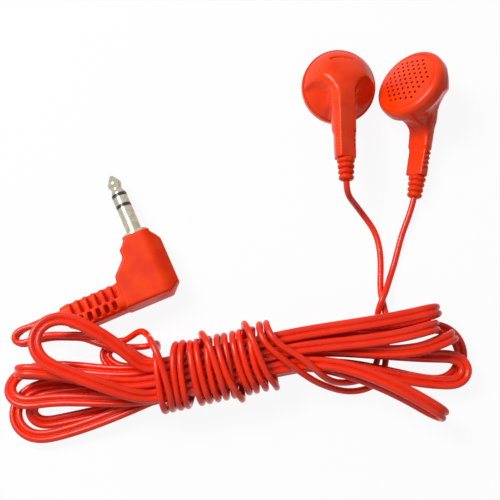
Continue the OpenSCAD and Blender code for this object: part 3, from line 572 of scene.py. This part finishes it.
TONE, GRAIN, LINES = make_tone(), make_grain(), make_lines()
PIN_WAY = (math.cos(math.radians(PLUG_TURN)), math.sin(math.radians(PLUG_TURN)), 0)
NO_WAY = (0, 0, 0)
RED, DEEP_RED = (0.86, 0.046, 0.002), (0.78, 0.034, 0.001)

# Finish: tone, deep tone, smoothest and roughest, patch size and grain size in mm, height of
# the grain in mm, and what else differs from a plain plastic.
FINISHES = {
    "shell_plastic": (RED, DEEP_RED, 0.24, 0.33, 6, 0.30, 0.0022, {"spec": 0.22}),
    "boot_rubber": (RED, (0.72, 0.022, 0.002), 0.36, 0.46, 3, 0.22, 0.004, {"spec": 0.15}),
    "cord_jacket": ((0.83, 0.024, 0.0005), (0.78, 0.018, 0.0003), 0.2, 0.28, 5, 0.35, 0.002,
                    {"spec": 0.3}),
    "plug_plastic": (RED, (0.78, 0.030, 0.0025), 0.40, 0.50, 4, 0.24, 0.007, {"spec": 0.15}),
    "nickel": ((0.56, 0.51, 0.41), (0.44, 0.39, 0.29), 0.16, 0.30, 1.2, 0.15, 0.0006,
               {"metal": True, "lines": (PIN_WAY, NO_WAY, 0.09, 0.0006)}),
    "black_insulator": ((0.012, 0.012, 0.013), (0.02, 0.018, 0.016), 0.2, 0.35, 1, 0.2, 0.001,
                        {}),
    "grille_cloth": ((0.30, 0.012, 0.003), (0.20, 0.008, 0.002), 0.8, 0.95, 1, 0.1, 0.004,
                     {"lines": ((1, 0, 0), (0, 1, 0), 0.16, 0.02), "spec": 0.2}),
    "frame_metal": ((0.52, 0.52, 0.53), (0.44, 0.44, 0.46), 0.28, 0.42, 2, 0.12, 0.001,
                    {"metal": True}),
    "clear_film": ((0.74, 0.73, 0.68), (0.68, 0.67, 0.62), 0.18, 0.32, 2, 0.4, 0.002,
                   {"spec": 0.5}),
    "copper_wire": ((0.72, 0.30, 0.13), (0.60, 0.22, 0.09), 0.22, 0.38, 1, 0.1, 0.001,
                    {"metal": True, "lines": ((0, 0, 1), NO_WAY, 0.08, 0.01)}),
    "steel": ((0.56, 0.56, 0.58), (0.46, 0.46, 0.49), 0.26, 0.42, 2, 0.1, 0.001,
              {"metal": True}),
    "magnet": ((0.50, 0.50, 0.52), (0.40, 0.40, 0.43), 0.2, 0.34, 1.5, 0.12, 0.0008,
               {"metal": True}),
    "circuit_board": ((0.035, 0.17, 0.065), (0.025, 0.13, 0.05), 0.3, 0.45, 1, 0.15, 0.002,
                      {"lines": ((1, 0, 0), (0, 1, 0), 0.12, 0.002)}),
    "felt": ((0.035, 0.034, 0.034), (0.02, 0.02, 0.02), 0.9, 1.0, 0.5, 0.06, 0.02, {}),
}


def add_bump(nodes, links, height, distance, normal=None):
    """Normal of a height, on top of another normal where one is given."""
    bump = nodes.new("ShaderNodeBump")
    bump.inputs["Distance"].default_value = distance * MM
    links.new(height, bump.inputs["Height"])
    if normal is not None:
        links.new(normal, bump.inputs["Normal"])
    return bump.outputs["Normal"]


def make_finish(name, tone, deep, smooth, rough, patch, grain, depth, more):
    """Material of one finish: toned patches, worn roughness and a fine grain."""
    material = bpy.data.materials.new(name)
    material.use_nodes = True
    nodes, links = material.node_tree.nodes, material.node_tree.links
    shader = nodes["Principled BSDF"]
    at = nodes.new("ShaderNodeTexCoord").outputs["Object"]
    patches = add_node(nodes, "ShaderNodeGroup", node_tree=TONE)
    settings = {"Tone": (*tone, 1), "Deep Tone": (*deep, 1), "Smooth": smooth, "Rough": rough,
                "Patches": PER_MM / patch, "Specks": PER_MM / (patch * SPECK_SHARE)}
    for label, value in settings.items():
        patches.inputs[label].default_value = value
    grains = add_node(nodes, "ShaderNodeGroup", node_tree=GRAIN)
    grains.inputs["Grain"].default_value = PER_MM / grain
    grains.inputs["Sinks"].default_value = PER_MM / (grain * SINK_TIMES)
    links.new(at, patches.inputs["Coordinates"])
    links.new(at, grains.inputs["Coordinates"])
    normal = add_bump(nodes, links, grains.outputs["Height"], depth)
    if "lines" in more:
        first, second, pitch, height = more["lines"]
        lines = add_node(nodes, "ShaderNodeGroup", node_tree=LINES)
        lines.inputs["First"].default_value = first
        lines.inputs["Second"].default_value = second
        lines.inputs["Lines"].default_value = 2 * math.pi * PER_MM / pitch
        links.new(at, lines.inputs["Coordinates"])
        normal = add_bump(nodes, links, lines.outputs["Height"], height, normal)
    links.new(patches.outputs["Colour"], shader.inputs["Base Color"])
    links.new(patches.outputs["Roughness"], shader.inputs["Roughness"])
    links.new(normal, shader.inputs["Normal"])
    shader.inputs["Metallic"].default_value = 1.0 if more.get("metal") else 0.0
    shader.inputs["Specular IOR Level"].default_value = more.get("spec", PLAIN_SPECULAR)
    return material


MATERIALS = {name: make_finish(name, *settings) for name, settings in FINISHES.items()}


def finish_with(piece, name):
    """Give a piece the finish of a slot."""
    piece.data.materials.clear()
    piece.data.materials.append(MATERIALS[name])


# ------------------------------------------------------------------ rear shells
# Sizes of the shell as in the CAD model, in its own frame: rim at z = 0, stem along -Y.
SEAM = -3.0
DOME_R, DOME_Z, SHELL_WALL = 9.9, 2.24, 1.0
SEAM_R, SEAM_STEP, SPIGOT_R, LIP_R, SPIGOT_H, LIP_LAP = 8.4, 0.25, 7.75, 7.4, 0.8, 0.01
STEM_FRONT, STEM_RIDGE, STEM_WIDE, STEM_FOOT_WIDE = 1.65, -2.15, 2.6, 2.3
STEM_START, TAPER_FROM, RIDGE_ASIDE, STEM_SHOULDER = 1.2, 1, -1.3, (2.6, -0.5)
# The crest's arc leaves a plane along the stem's back, BACK_PLANE behind its axis, at CREST_Y.
CREST_ROUND, CREST_Y, BACK_PLANE = 13.1, -1, 2
CREST_FOOT = (BACK_PLANE * math.sin(STEM_LEAN) - CREST_Y) / math.cos(STEM_LEAN)
CREST_MID = np.array([
    CREST_Y - CREST_ROUND * math.sin(STEM_LEAN),
    -STEM_BACK - CREST_FOOT * math.sin(STEM_LEAN)
    + (CREST_ROUND - BACK_PLANE) * math.cos(STEM_LEAN),
])
NECK_ROUND, NECK_ON_STEM, NECK_HALF, NECK_SKIN = 4.4, 11, 2.3, 1.2
BORE_R, BORE_FROM = 1.2, 6
# Opening through which the lead's wires pass from the stem into the dome
OPENING_R, OPENING_Y, OPENING_Z, OPENING_HALF = 1, -5.9, -7.6, 3
# Vent slot: its radius, half width and depth, its middle and half spread in degrees, and how
# much of a millimetre a degree counts for
VENT_R, VENT_HALF, VENT_DEEP, VENT_MIDDLE, VENT_SPREAD, PER_DEGREE = 6.2, 0.2, 0.3, 90, 26, 0.1
# Slanted grooves: how many, the first one's place down the stem, their pitch and turn, then
# half their width and length, and where they lie and reach to through the stem and its side
GROOVES, GROOVE_FROM, GROOVE_PITCH, GROOVE_TURN = 4, 12.3, 1.15, math.radians(35)
GROOVE_HALF, GROOVE_LONG, GROOVE_MIDDLE, GROOVE_AT, GROOVE_REACH = 0.2, 1.5, 0.1, 2.75, 0.85
# Angle past the stem's lean along the crest's arc, and how far its ridge, or its band's other
# edge, stands to the side: narrow over the stem, then spreading into the hood over the dome.
RIDGE = [(-8, 1.2), (-1, 1.8), (7, 2.8), (13, 3.9), (17, 5.6), (19, 7), (20, 9)]
BAND = [(-8, 2.6), (0, 3.1), (7, 3.3), (13, 4.2), (17, 5.6), (19, 7), (20, 9)]
# How much lower the band's other edge lies than the ridge
BAND_DROP = 1.3
# Where the scoops beside the stem end, as they open out over the dome
WALLS = [(-10, 2.6), (-3, 2.8), (3, 3.5), (8, 4.6), (12, 6.2), (16, 9)]
RIDGE_SLOPE, BAND_SLOPE, WALL_SLOPE = 1.1, 1.8, 0.8
CREST_LOW = -5
HOOD_R, HOOD_LONG, HOOD_BACK, HOOD_DEEP, HOOD_SCALE = 7.8, 11.1, 3, 8.6, 7
# Fillets: of the crest's edges, walls, hood and lower end, of the stem's sides, back, foot and
# start, of the neck's hollow and sides, and where one form runs into the next
CREST_EDGE, WALL_EDGE, HOOD_EDGE, LOW_EDGE = 0.7, 0.9, 1.5, 1
SIDE_EDGE, BACK_EDGE, FOOT_EDGE, START_EDGE = 0.5, 0.3, 0.25, 4
HOLLOW_EDGE, NECK_EDGE = 0.3, 0.8
CREST_ON_DOME, RIM_EDGE, NECK_ON_DOME, STEM_ON_DOME, SEAM_EDGE = 2.4, 0.3, 0.5, 1.4, 0.15
GROOVE_EDGE, CUT_EDGE = 0.1, 0.12
# Side of the cells that a surface is found in, and the box round a shell
CELL = 0.17
SHELL_BOX = (-9.3, -20.6, -15.3), (9.3, 9.3, -1.9)


def blend_min(a, b, k):
    """Lower of two fields, with a fillet where they meet."""
    h = np.maximum(k - np.abs(a - b), 0) / k
    return np.minimum(a, b) - h * h * k / 4


def blend_max(a, b, k):
    """Higher of two fields, with a round where they meet."""
    return -blend_min(-a, -b, k)


def crest_field(p):
    """Distance from the crest: the stem's back carried over the dome, scooped at its sides."""
    y, z = p[:, 1] - CREST_MID[0], p[:, 2] - CREST_MID[1]
    angle = np.degrees(np.arctan2(y, -z)) - math.degrees(STEM_LEAN)
    left, right, walls = (np.interp(angle, *zip(*rows)) for rows in (RIDGE, BAND, WALLS))
    high = np.hypot(y, z) - CREST_ROUND
    drop = BAND_DROP / (left + right)
    d = (high + drop * (p[:, 0] + left)) / np.hypot(1, drop)
    for aside, slope in ((-p[:, 0] - left, RIDGE_SLOPE),
                         (p[:, 0] - right + BAND_DROP / BAND_SLOPE, BAND_SLOPE)):
        d = blend_max(d, (high + slope * aside) / np.hypot(1, slope), CREST_EDGE)
    d = blend_max(d, (np.abs(p[:, 0]) - walls) * WALL_SLOPE, WALL_EDGE)
    hood = np.sqrt((p[:, 0] / HOOD_R) ** 2 + ((p[:, 1] + HOOD_BACK) / HOOD_LONG) ** 2
                   + ((p[:, 2] - SEAM) / HOOD_DEEP) ** 2)
    d = blend_max(d, (hood - 1) * HOOD_SCALE, HOOD_EDGE)
    return blend_max(d, CREST_LOW - p[:, 1], LOW_EDGE)


def stem_field(p):
    """Distance from the tapered stem with its ridged back, and places across and along it."""
    c, s = math.cos(STEM_LEAN), math.sin(STEM_LEAN)
    y, z = p[:, 1], p[:, 2] + STEM_BACK
    u, l, v = p[:, 0], -y * c - z * s, -y * s + z * c
    half = STEM_WIDE - ((STEM_WIDE - STEM_FOOT_WIDE) * np.clip(l - TAPER_FROM, 0, None)
                        / (STEM_LEN - TAPER_FROM))
    d = v - STEM_FRONT
    for aside in (u, -u):
        d = blend_max(d, aside - half, SIDE_EDGE)
    right, ridge = STEM_SHOULDER, (RIDGE_ASIDE, STEM_RIDGE)
    left = (-right[0], right[1])
    for start, end in ((left, ridge), (ridge, right)):
        n = unit(np.array([end[1] - start[1], start[0] - end[0]]))
        d = blend_max(d, (u - start[0]) * n[0] + (v - start[1]) * n[1], BACK_EDGE)
    d = blend_max(d, l - STEM_LEN, FOOT_EDGE)
    return blend_max(d, STEM_START - l, START_EDGE), u, v, l


def neck_field(p):
    """Distance from the web under the dome, with the hollow of the neck."""
    c, s = math.cos(STEM_LEAN), math.sin(STEM_LEAN)
    front = np.array([-NECK_ON_STEM * c - STEM_FRONT * s,
                      -STEM_BACK - NECK_ON_STEM * s + STEM_FRONT * c])
    hollow = front + NECK_ROUND * np.array([-s, c])
    # Outline of the web in the middle plane, as places along Y and Z
    web = [(0, SEAM - 3), (-4, -STEM_BACK), tuple(front - (0, NECK_SKIN)), tuple(front),
           (-SEAM_R, SEAM)]
    d = np.full(len(p), -np.inf)
    for a, b in zip(web, web[1:] + web[:1]):
        n = unit(np.array([a[1] - b[1], b[0] - a[0]]))
        d = np.maximum(d, (p[:, 1] - a[0]) * n[0] + (p[:, 2] - a[1]) * n[1])
    round_hollow = NECK_ROUND - np.hypot(p[:, 1] - hollow[0], p[:, 2] - hollow[1])
    d = blend_max(d, round_hollow, HOLLOW_EDGE)
    return blend_max(d, np.abs(p[:, 0]) - NECK_HALF, NECK_EDGE)


def groove_fields(u, v, l):
    """Distances from the slanted grooves in one side of the stem."""
    c, s = math.cos(GROOVE_TURN), math.sin(GROOVE_TURN)
    fields = []
    for i in range(GROOVES):
        a, b = v - GROOVE_MIDDLE, l - GROOVE_FROM - i * GROOVE_PITCH
        slant, along = a * s - b * c, a * c + b * s
        groove = blend_max(np.abs(slant) - GROOVE_HALF, np.abs(u - GROOVE_AT) - GROOVE_REACH,
                           GROOVE_EDGE)
        fields.append(blend_max(groove, np.abs(along) - GROOVE_LONG, GROOVE_EDGE))
    return fields


def shell_field(p):
    """Distance from a rear shell, below zero in its wall."""
    ball = np.linalg.norm(p - np.array([0, 0, DOME_Z]), axis=1)
    across = np.hypot(p[:, 0], p[:, 1])
    stem, u, v, l = stem_field(p)
    body = blend_min(ball - DOME_R, crest_field(p), CREST_ON_DOME)
    body = blend_max(body, across - SEAM_R + SEAM_STEP, RIM_EDGE)
    body = blend_min(body, neck_field(p), NECK_ON_DOME)
    body = blend_min(body, stem, STEM_ON_DOME)
    body = blend_max(body, p[:, 2] - SEAM, SEAM_EDGE)
    spigot = np.maximum(across - SPIGOT_R, np.abs(p[:, 2] - SEAM) - SPIGOT_H)
    body = np.minimum(body, spigot)
    inside = np.maximum(ball - DOME_R + SHELL_WALL, p[:, 2] - SEAM)
    inside = np.minimum(inside, np.maximum(across - LIP_R, SEAM - LIP_LAP - p[:, 2]))
    bore = np.maximum(np.hypot(u, v) - BORE_R, BORE_FROM - l)
    opening = np.maximum(np.hypot(p[:, 0], p[:, 1] - OPENING_Y) - OPENING_R,
                         np.abs(p[:, 2] - OPENING_Z) - OPENING_HALF)
    angle = np.degrees(np.arctan2(p[:, 1], p[:, 0]))
    vent = np.maximum(np.abs(across - VENT_R) - VENT_HALF,
                      (np.abs(angle - VENT_MIDDLE) - VENT_SPREAD) * PER_DEGREE)
    vent = np.maximum(vent, -VENT_DEEP - body)
    for cut in (inside, bore, opening, vent, *groove_fields(u, v, l)):
        body = blend_max(body, -cut, CUT_EDGE)
    return body


def skin(field, low, high, cell=CELL):
    """Points, faces and normals of the surface where a field is zero, inside a box."""
    axes = [np.arange(a, b + cell, cell) for a, b in zip(low, high)]
    grid = np.stack(np.meshgrid(*axes, indexing="ij"), -1)
    shape = grid.shape[:3]
    value = field(grid.reshape(-1, 3)).reshape(shape)
    cells = tuple(n - 1 for n in shape)
    total, count = np.zeros((*cells, 3)), np.zeros(cells)
    number = np.full(cells, -1)
    crossings = []
    # Where the field changes sign along an edge of the grid, for the four cells round it
    for axis in range(3):
        a = np.take(value, range(shape[axis] - 1), axis)
        b = np.take(value, range(1, shape[axis]), axis)
        start = np.take(grid, range(shape[axis] - 1), axis)
        where = np.argwhere((a < 0) != (b < 0))
        i, j, k = where.T
        share = a[i, j, k] / (a[i, j, k] - b[i, j, k])
        p = start[i, j, k].copy()
        p[:, axis] += share * cell
        crossings.append((where, a[i, j, k] < 0))
        others = [n for n in range(3) if n != axis]
        for da in (0, 1):
            for db in (0, 1):
                at = where.copy()
                at[:, others[0]] -= da
                at[:, others[1]] -= db
                fits = ((at >= 0) & (at < cells)).all(1)
                x, y, z = at[fits].T
                np.add.at(total, (x, y, z), p[fits])
                np.add.at(count, (x, y, z), 1)
    # One point in each cell that the surface passes, amid its crossings
    used = count > 0
    number[used] = np.arange(used.sum())
    points = total[used] / count[used][:, None]
    faces = []
    # One face across each crossed edge, between the points of its four cells
    for axis, (where, rising) in enumerate(crossings):
        b, c = (axis + 1) % 3, (axis + 2) % 3
        corners = []
        for db, dc in ((1, 1), (0, 1), (0, 0), (1, 0)):
            at = where.copy()
            at[:, b] -= db
            at[:, c] -= dc
            corners.append(number[tuple(at.T)])
        quads = np.stack(corners, 1)
        quads[~rising] = quads[~rising][:, ::-1]
        faces.append(quads)
    # Normals from the field's slope, read between the grid's points
    slope = np.stack(np.gradient(value, cell), -1)
    at = (points - np.array(low)) / cell
    base = np.minimum(at.astype(int), np.array(shape) - 2)
    part = at - base
    normals = np.zeros_like(points)
    for corner in np.ndindex(2, 2, 2):
        weight = np.prod(np.where(corner, part, 1 - part), axis=1)
        x, y, z = (base + corner).T
        normals += weight[:, None] * slope[x, y, z]
    return points, np.vstack(faces), normals / np.linalg.norm(normals, axis=1)[:, None]


def lay_skin(name, surface, at, turn, slot, node, mirror=1):
    """Piece with a skin's surface in its place, with its finish, body and replaced node."""
    points, faces, normals = surface
    flip = np.array([mirror, 1, 1])
    m = np.array(place(at, turn))
    p = (points * flip) @ m[:3, :3].T + m[:3, 3]
    n = (normals * flip) @ (m[:3, :3] / MM).T
    piece = mesh_object(name, p, faces if mirror > 0 else faces[:, ::-1])
    piece.data.normals_split_custom_set_from_vertices([tuple(v) for v in n])
    finish_with(piece, slot)
    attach(piece, BODY)
    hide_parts(node)
    return piece


shell_skin = skin(shell_field, *SHELL_BOX)
for side, bud_at, bud_turn, hand in (
    ("left", LEFT_AT, LEFT_TURN, -1), ("right", RIGHT_AT, RIGHT_TURN, 1),
):
    lay_skin(f"{side}_smooth_shell", shell_skin, bud_at, bud_turn, "shell_plastic",
             f"{side}_rear_shell", hand)


# ------------------------------------------------------------------ plug
# Sizes of the plug as in the CAD model, in its own frame: pin along +Y from the origin.
PLUG_HALF_T, PLUG_SIDE, PLUG_LONG = 3.7, 4.75, 16
PLUG_OUTLINE = [
    (3.1, -0.7), (3.1, -1.4), (PLUG_SIDE - 0.6, -2.6), (PLUG_SIDE, -3.6),
    (PLUG_SIDE, 1.8 - PLUG_LONG), (PLUG_SIDE - 2.2, -PLUG_LONG), (-7.9, -15.8), (-7.9, -9.3),
    (-7.7, -8.2), (-4.9, -5.3), (0.1 - PLUG_SIDE, -4.6), (0.1 - PLUG_SIDE, -3.2), (-3.7, -2.3),
    (-3.1, -1.4), (-3.1, -0.7),
]
BOOT_OUTLINE = [
    (-7.4, -9.3), (-7.4, -15.8), (-18.5, -15.8), (-21.5, -13.5), (-21.5, -9.7), (-20, -9.3),
]
BOOT_HALF_T, BOOT_MID, BOOT_HALF, BOOT_BEVEL = 3.4, -12.55, 3.25, 1
# Bevel of the body's side away from the boot: where it starts, its slope, and its slanted
# length over a millimetre
BEVEL_FROM, BEVEL_SLOPE, BEVEL_LONG = 2.0, 0.8, 1.28
SLOTS, SLOT_FIRST, SLOT_PITCH, SLOT_HALF, SLOT_DEEP = 6, -9.1, 1.9, 0.45, 2.0
# Two rows of slots in the boot: shift along it, and the row's near and far end
SLOT_ROWS = [(0, -12.8, -4), (SLOT_PITCH / 2, -15.1, -13.3)]
PIN_BORE_R, PIN_BORE_DEEP, PIN_BORE_PAST = 2.25, 6.1, 0.1
PLUG_EDGE, BEVEL_EDGE, SLOT_EDGE, SLOT_FLOOR, BORE_EDGE = 0.7, 0.6, 0.3, 0.2, 0.1
PLUG_BOX = (-22, -16.5, -4.1), (5.2, 0.1, 4.1)


def outline_field(x, y, outline):
    """Distance from a closed outline, below zero inside it."""
    far = np.full(len(x), 1e9)
    inside = np.zeros(len(x), bool)
    for (ax, ay), (bx, by) in zip(outline, outline[1:] + outline[:1]):
        ex, ey = bx - ax, by - ay
        t = np.clip(((x - ax) * ex + (y - ay) * ey) / (ex * ex + ey * ey), 0, 1)
        far = np.minimum(far, np.hypot(x - ax - t * ex, y - ay - t * ey))
        if ay != by:
            inside ^= ((ay > y) != (by > y)) & (x < ex * (y - ay) / ey + ax)
    return np.where(inside, -far, far)


def plug_field(p):
    """Distance from the plug's body and its slotted boot, with worn-round edges."""
    x, y, z = p.T
    body = blend_max(outline_field(x, y, PLUG_OUTLINE), np.abs(z) - PLUG_HALF_T, PLUG_EDGE)
    bevel = (np.abs(z) - PLUG_HALF_T + (x - BEVEL_FROM) * BEVEL_SLOPE) / BEVEL_LONG
    body = blend_max(body, bevel, BEVEL_EDGE)
    boot = blend_max(outline_field(x, y, BOOT_OUTLINE), np.abs(z) - BOOT_HALF_T, PLUG_EDGE)
    corner = np.abs(z) - BOOT_HALF_T + np.abs(y - BOOT_MID) - BOOT_HALF + BOOT_BEVEL
    boot = blend_max(boot, corner / math.sqrt(2), BEVEL_EDGE)
    deep = BOOT_HALF_T - SLOT_DEEP - np.abs(z)
    for i in range(SLOTS):
        for shift, low, high in SLOT_ROWS:
            middle = SLOT_FIRST - i * SLOT_PITCH - shift
            slot = blend_max(np.abs(x - middle) - SLOT_HALF, np.maximum(low - y, y - high),
                             SLOT_EDGE)
            boot = blend_max(boot, -blend_max(slot, deep, SLOT_FLOOR), SLOT_EDGE)
    body = blend_min(body, boot, SLOT_EDGE)
    bore = np.maximum(np.hypot(x, z) - PIN_BORE_R,
                      np.maximum(-PIN_BORE_DEEP - y, y - PIN_BORE_PAST))
    return blend_max(body, -bore, BORE_EDGE)


moulded_plug = lay_skin("moulded_plug", skin(plug_field, *PLUG_BOX), PLUG_AT, (0, 0, PLUG_TURN),
                        "plug_plastic", "plug_body")


# ------------------------------------------------------------------ cords
CORD_STEP = 0.8
JACKET_R = 0.71
# Half angle of the web between the twin cord's leads, sides of a section, and how often a
# path's turns are softened
TWIN_WEB, TWIN_SIDES, LEAD_SIDES = 20, 15, 20
TWIN_EASING, LEAD_EASING = 6, 8
PLUG_NODES = [
    "jack_sleeve", "jack_ring", "jack_tip", "jack_rear_insulator",
    "jack_front_insulator", "jack_carrier",
]


def eased(path, passes):
    """Path with its sharp turns softened; its ends stay."""
    for _ in range(passes):
        path = np.vstack([path[:1], (path[:-2] + 2 * path[1:-1] + path[2:]) / 4, path[-1:]])
    return path


def lay_cord(name, path, widths, section, nodes, exit_point, diameter, far_end, **more):
    """Cord along a path, with its finish, body and replaced nodes; its lay (exit point,
    diameter, far end and further pieces) is not used.
    """
    cord = swept(name, path, widths, section)
    finish_with(cord, "cord_jacket")
    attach(cord, BODY)
    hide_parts(*nodes)


def make_cords():
    """Twin cord from the plug to its split, and the two leads from there to the earbuds."""
    coarse, coarse_w = twin_path()
    path, widths = spline(coarse, CORD_STEP, coarse_w)
    path = eased(path, TWIN_EASING)
    lay_cord("twin_cord", path, widths, twin_section(JACKET_R, TWIN_WEB, TWIN_SIDES),
             ("main_lead", "cord_hank"), path[-1], 4 * JACKET_R, "plug",
             with_pieces=[moulded_plug] + [frame["nodes"][n] for n in PLUG_NODES])
    split_w = coarse_w[-1] * math.copysign(1, coarse_w[-1][1])
    for side, hand, way, rows, route, at, turn in (
        ("left", 1, LEFT_WAY, LEFT_ROWS, LEFT_ROUTE, LEFT_AT, LEFT_TURN),
        ("right", -1, RIGHT_WAY, RIGHT_ROWS, RIGHT_ROUTE, RIGHT_AT, RIGHT_TURN),
    ):
        start = coarse[-1] + split_w * LEAD_R * hand
        path, _ = spline(lead_path(start, way, rows, route, at, turn), CORD_STEP)
        path = eased(path, LEAD_EASING)
        lay_cord(f"{side}_lead_cord", path, transported(path, UP),
                 circle_section(JACKET_R, LEAD_SIDES), (f"{side}_winding", f"{side}_lead"),
                 stem_point(at, turn, STEM_LEN + RELIEF_LEN), 2 * JACKET_R, "object")


make_cords()

# The solids that stay in view, with the finishes of their slots
for row in frame["record"]["subparts"]:
    node = frame["nodes"].get(row["node"])
    if node is not None and node.type == "MESH":
        node.data.materials.clear()
        node.data.materials.append(MATERIALS[row["material_slot"]])


# ------------------------------------------------------------------ floor and background
FLOOR_HALF = 1500
FLOOR_TONE = (0.8, 0.8, 0.8, 1)
FLOOR_GLOW = 0.92
SKY_TONE, SKY_STRENGTH = (0.9, 0.95, 1, 1), 0.2
SEEN_TONE = (1, 1, 1, 1)


def shown_directly(nodes, links):
    """1 where a camera, glossy or transmission ray looks, and 0 for light."""
    path = nodes.new("ShaderNodeLightPath")
    total = None
    for ray in ("Is Camera Ray", "Is Glossy Ray", "Is Transmission Ray"):
        if total is None:
            total = path.outputs[ray]
            continue
        add = add_node(nodes, "ShaderNodeMath", operation="ADD", use_clamp=True)
        links.new(total, add.inputs[0])
        links.new(path.outputs[ray], add.inputs[1])
        total = add.outputs[0]
    return total


def make_floor():
    """Pale matt floor that glows where it is seen, and so keeps only the object's shadow."""
    corners = [(x * FLOOR_HALF, y * FLOOR_HALF, 0)
               for x, y in ((-1, -1), (1, -1), (1, 1), (-1, 1))]
    floor = mesh_object("floor", metres(corners), [(0, 1, 2, 3)], smooth=False)
    material = bpy.data.materials.new("pale_floor")
    material.use_nodes = True
    nodes, links = material.node_tree.nodes, material.node_tree.links
    nodes.clear()
    out = nodes.new("ShaderNodeOutputMaterial")
    matt = nodes.new("ShaderNodeBsdfDiffuse")
    matt.inputs["Color"].default_value = FLOOR_TONE
    glow = nodes.new("ShaderNodeEmission")
    share = add_node(nodes, "ShaderNodeMath", operation="MULTIPLY")
    share.inputs[1].default_value = FLOOR_GLOW
    mix = nodes.new("ShaderNodeMixShader")
    links.new(shown_directly(nodes, links), share.inputs[0])
    links.new(share.outputs[0], mix.inputs["Fac"])
    links.new(matt.outputs[0], mix.inputs[1])
    links.new(glow.outputs[0], mix.inputs[2])
    links.new(mix.outputs[0], out.inputs["Surface"])
    floor.data.materials.append(material)


def make_background():
    """World that lights softly and is white where it is seen."""
    world = bpy.data.worlds.new("background")
    bpy.context.scene.world = world
    world.use_nodes = True
    nodes, links = world.node_tree.nodes, world.node_tree.links
    nodes.clear()
    out = nodes.new("ShaderNodeOutputWorld")
    light, seen = (nodes.new("ShaderNodeBackground") for _ in range(2))
    light.inputs["Color"].default_value = SKY_TONE
    light.inputs["Strength"].default_value = SKY_STRENGTH
    seen.inputs["Color"].default_value = SEEN_TONE
    mix = nodes.new("ShaderNodeMixShader")
    links.new(shown_directly(nodes, links), mix.inputs["Fac"])
    links.new(light.outputs[0], mix.inputs[1])
    links.new(seen.outputs[0], mix.inputs[2])
    links.new(mix.outputs[0], out.inputs["Surface"])


make_floor()
make_background()
bpy.context.scene.view_settings.view_transform = "Standard"
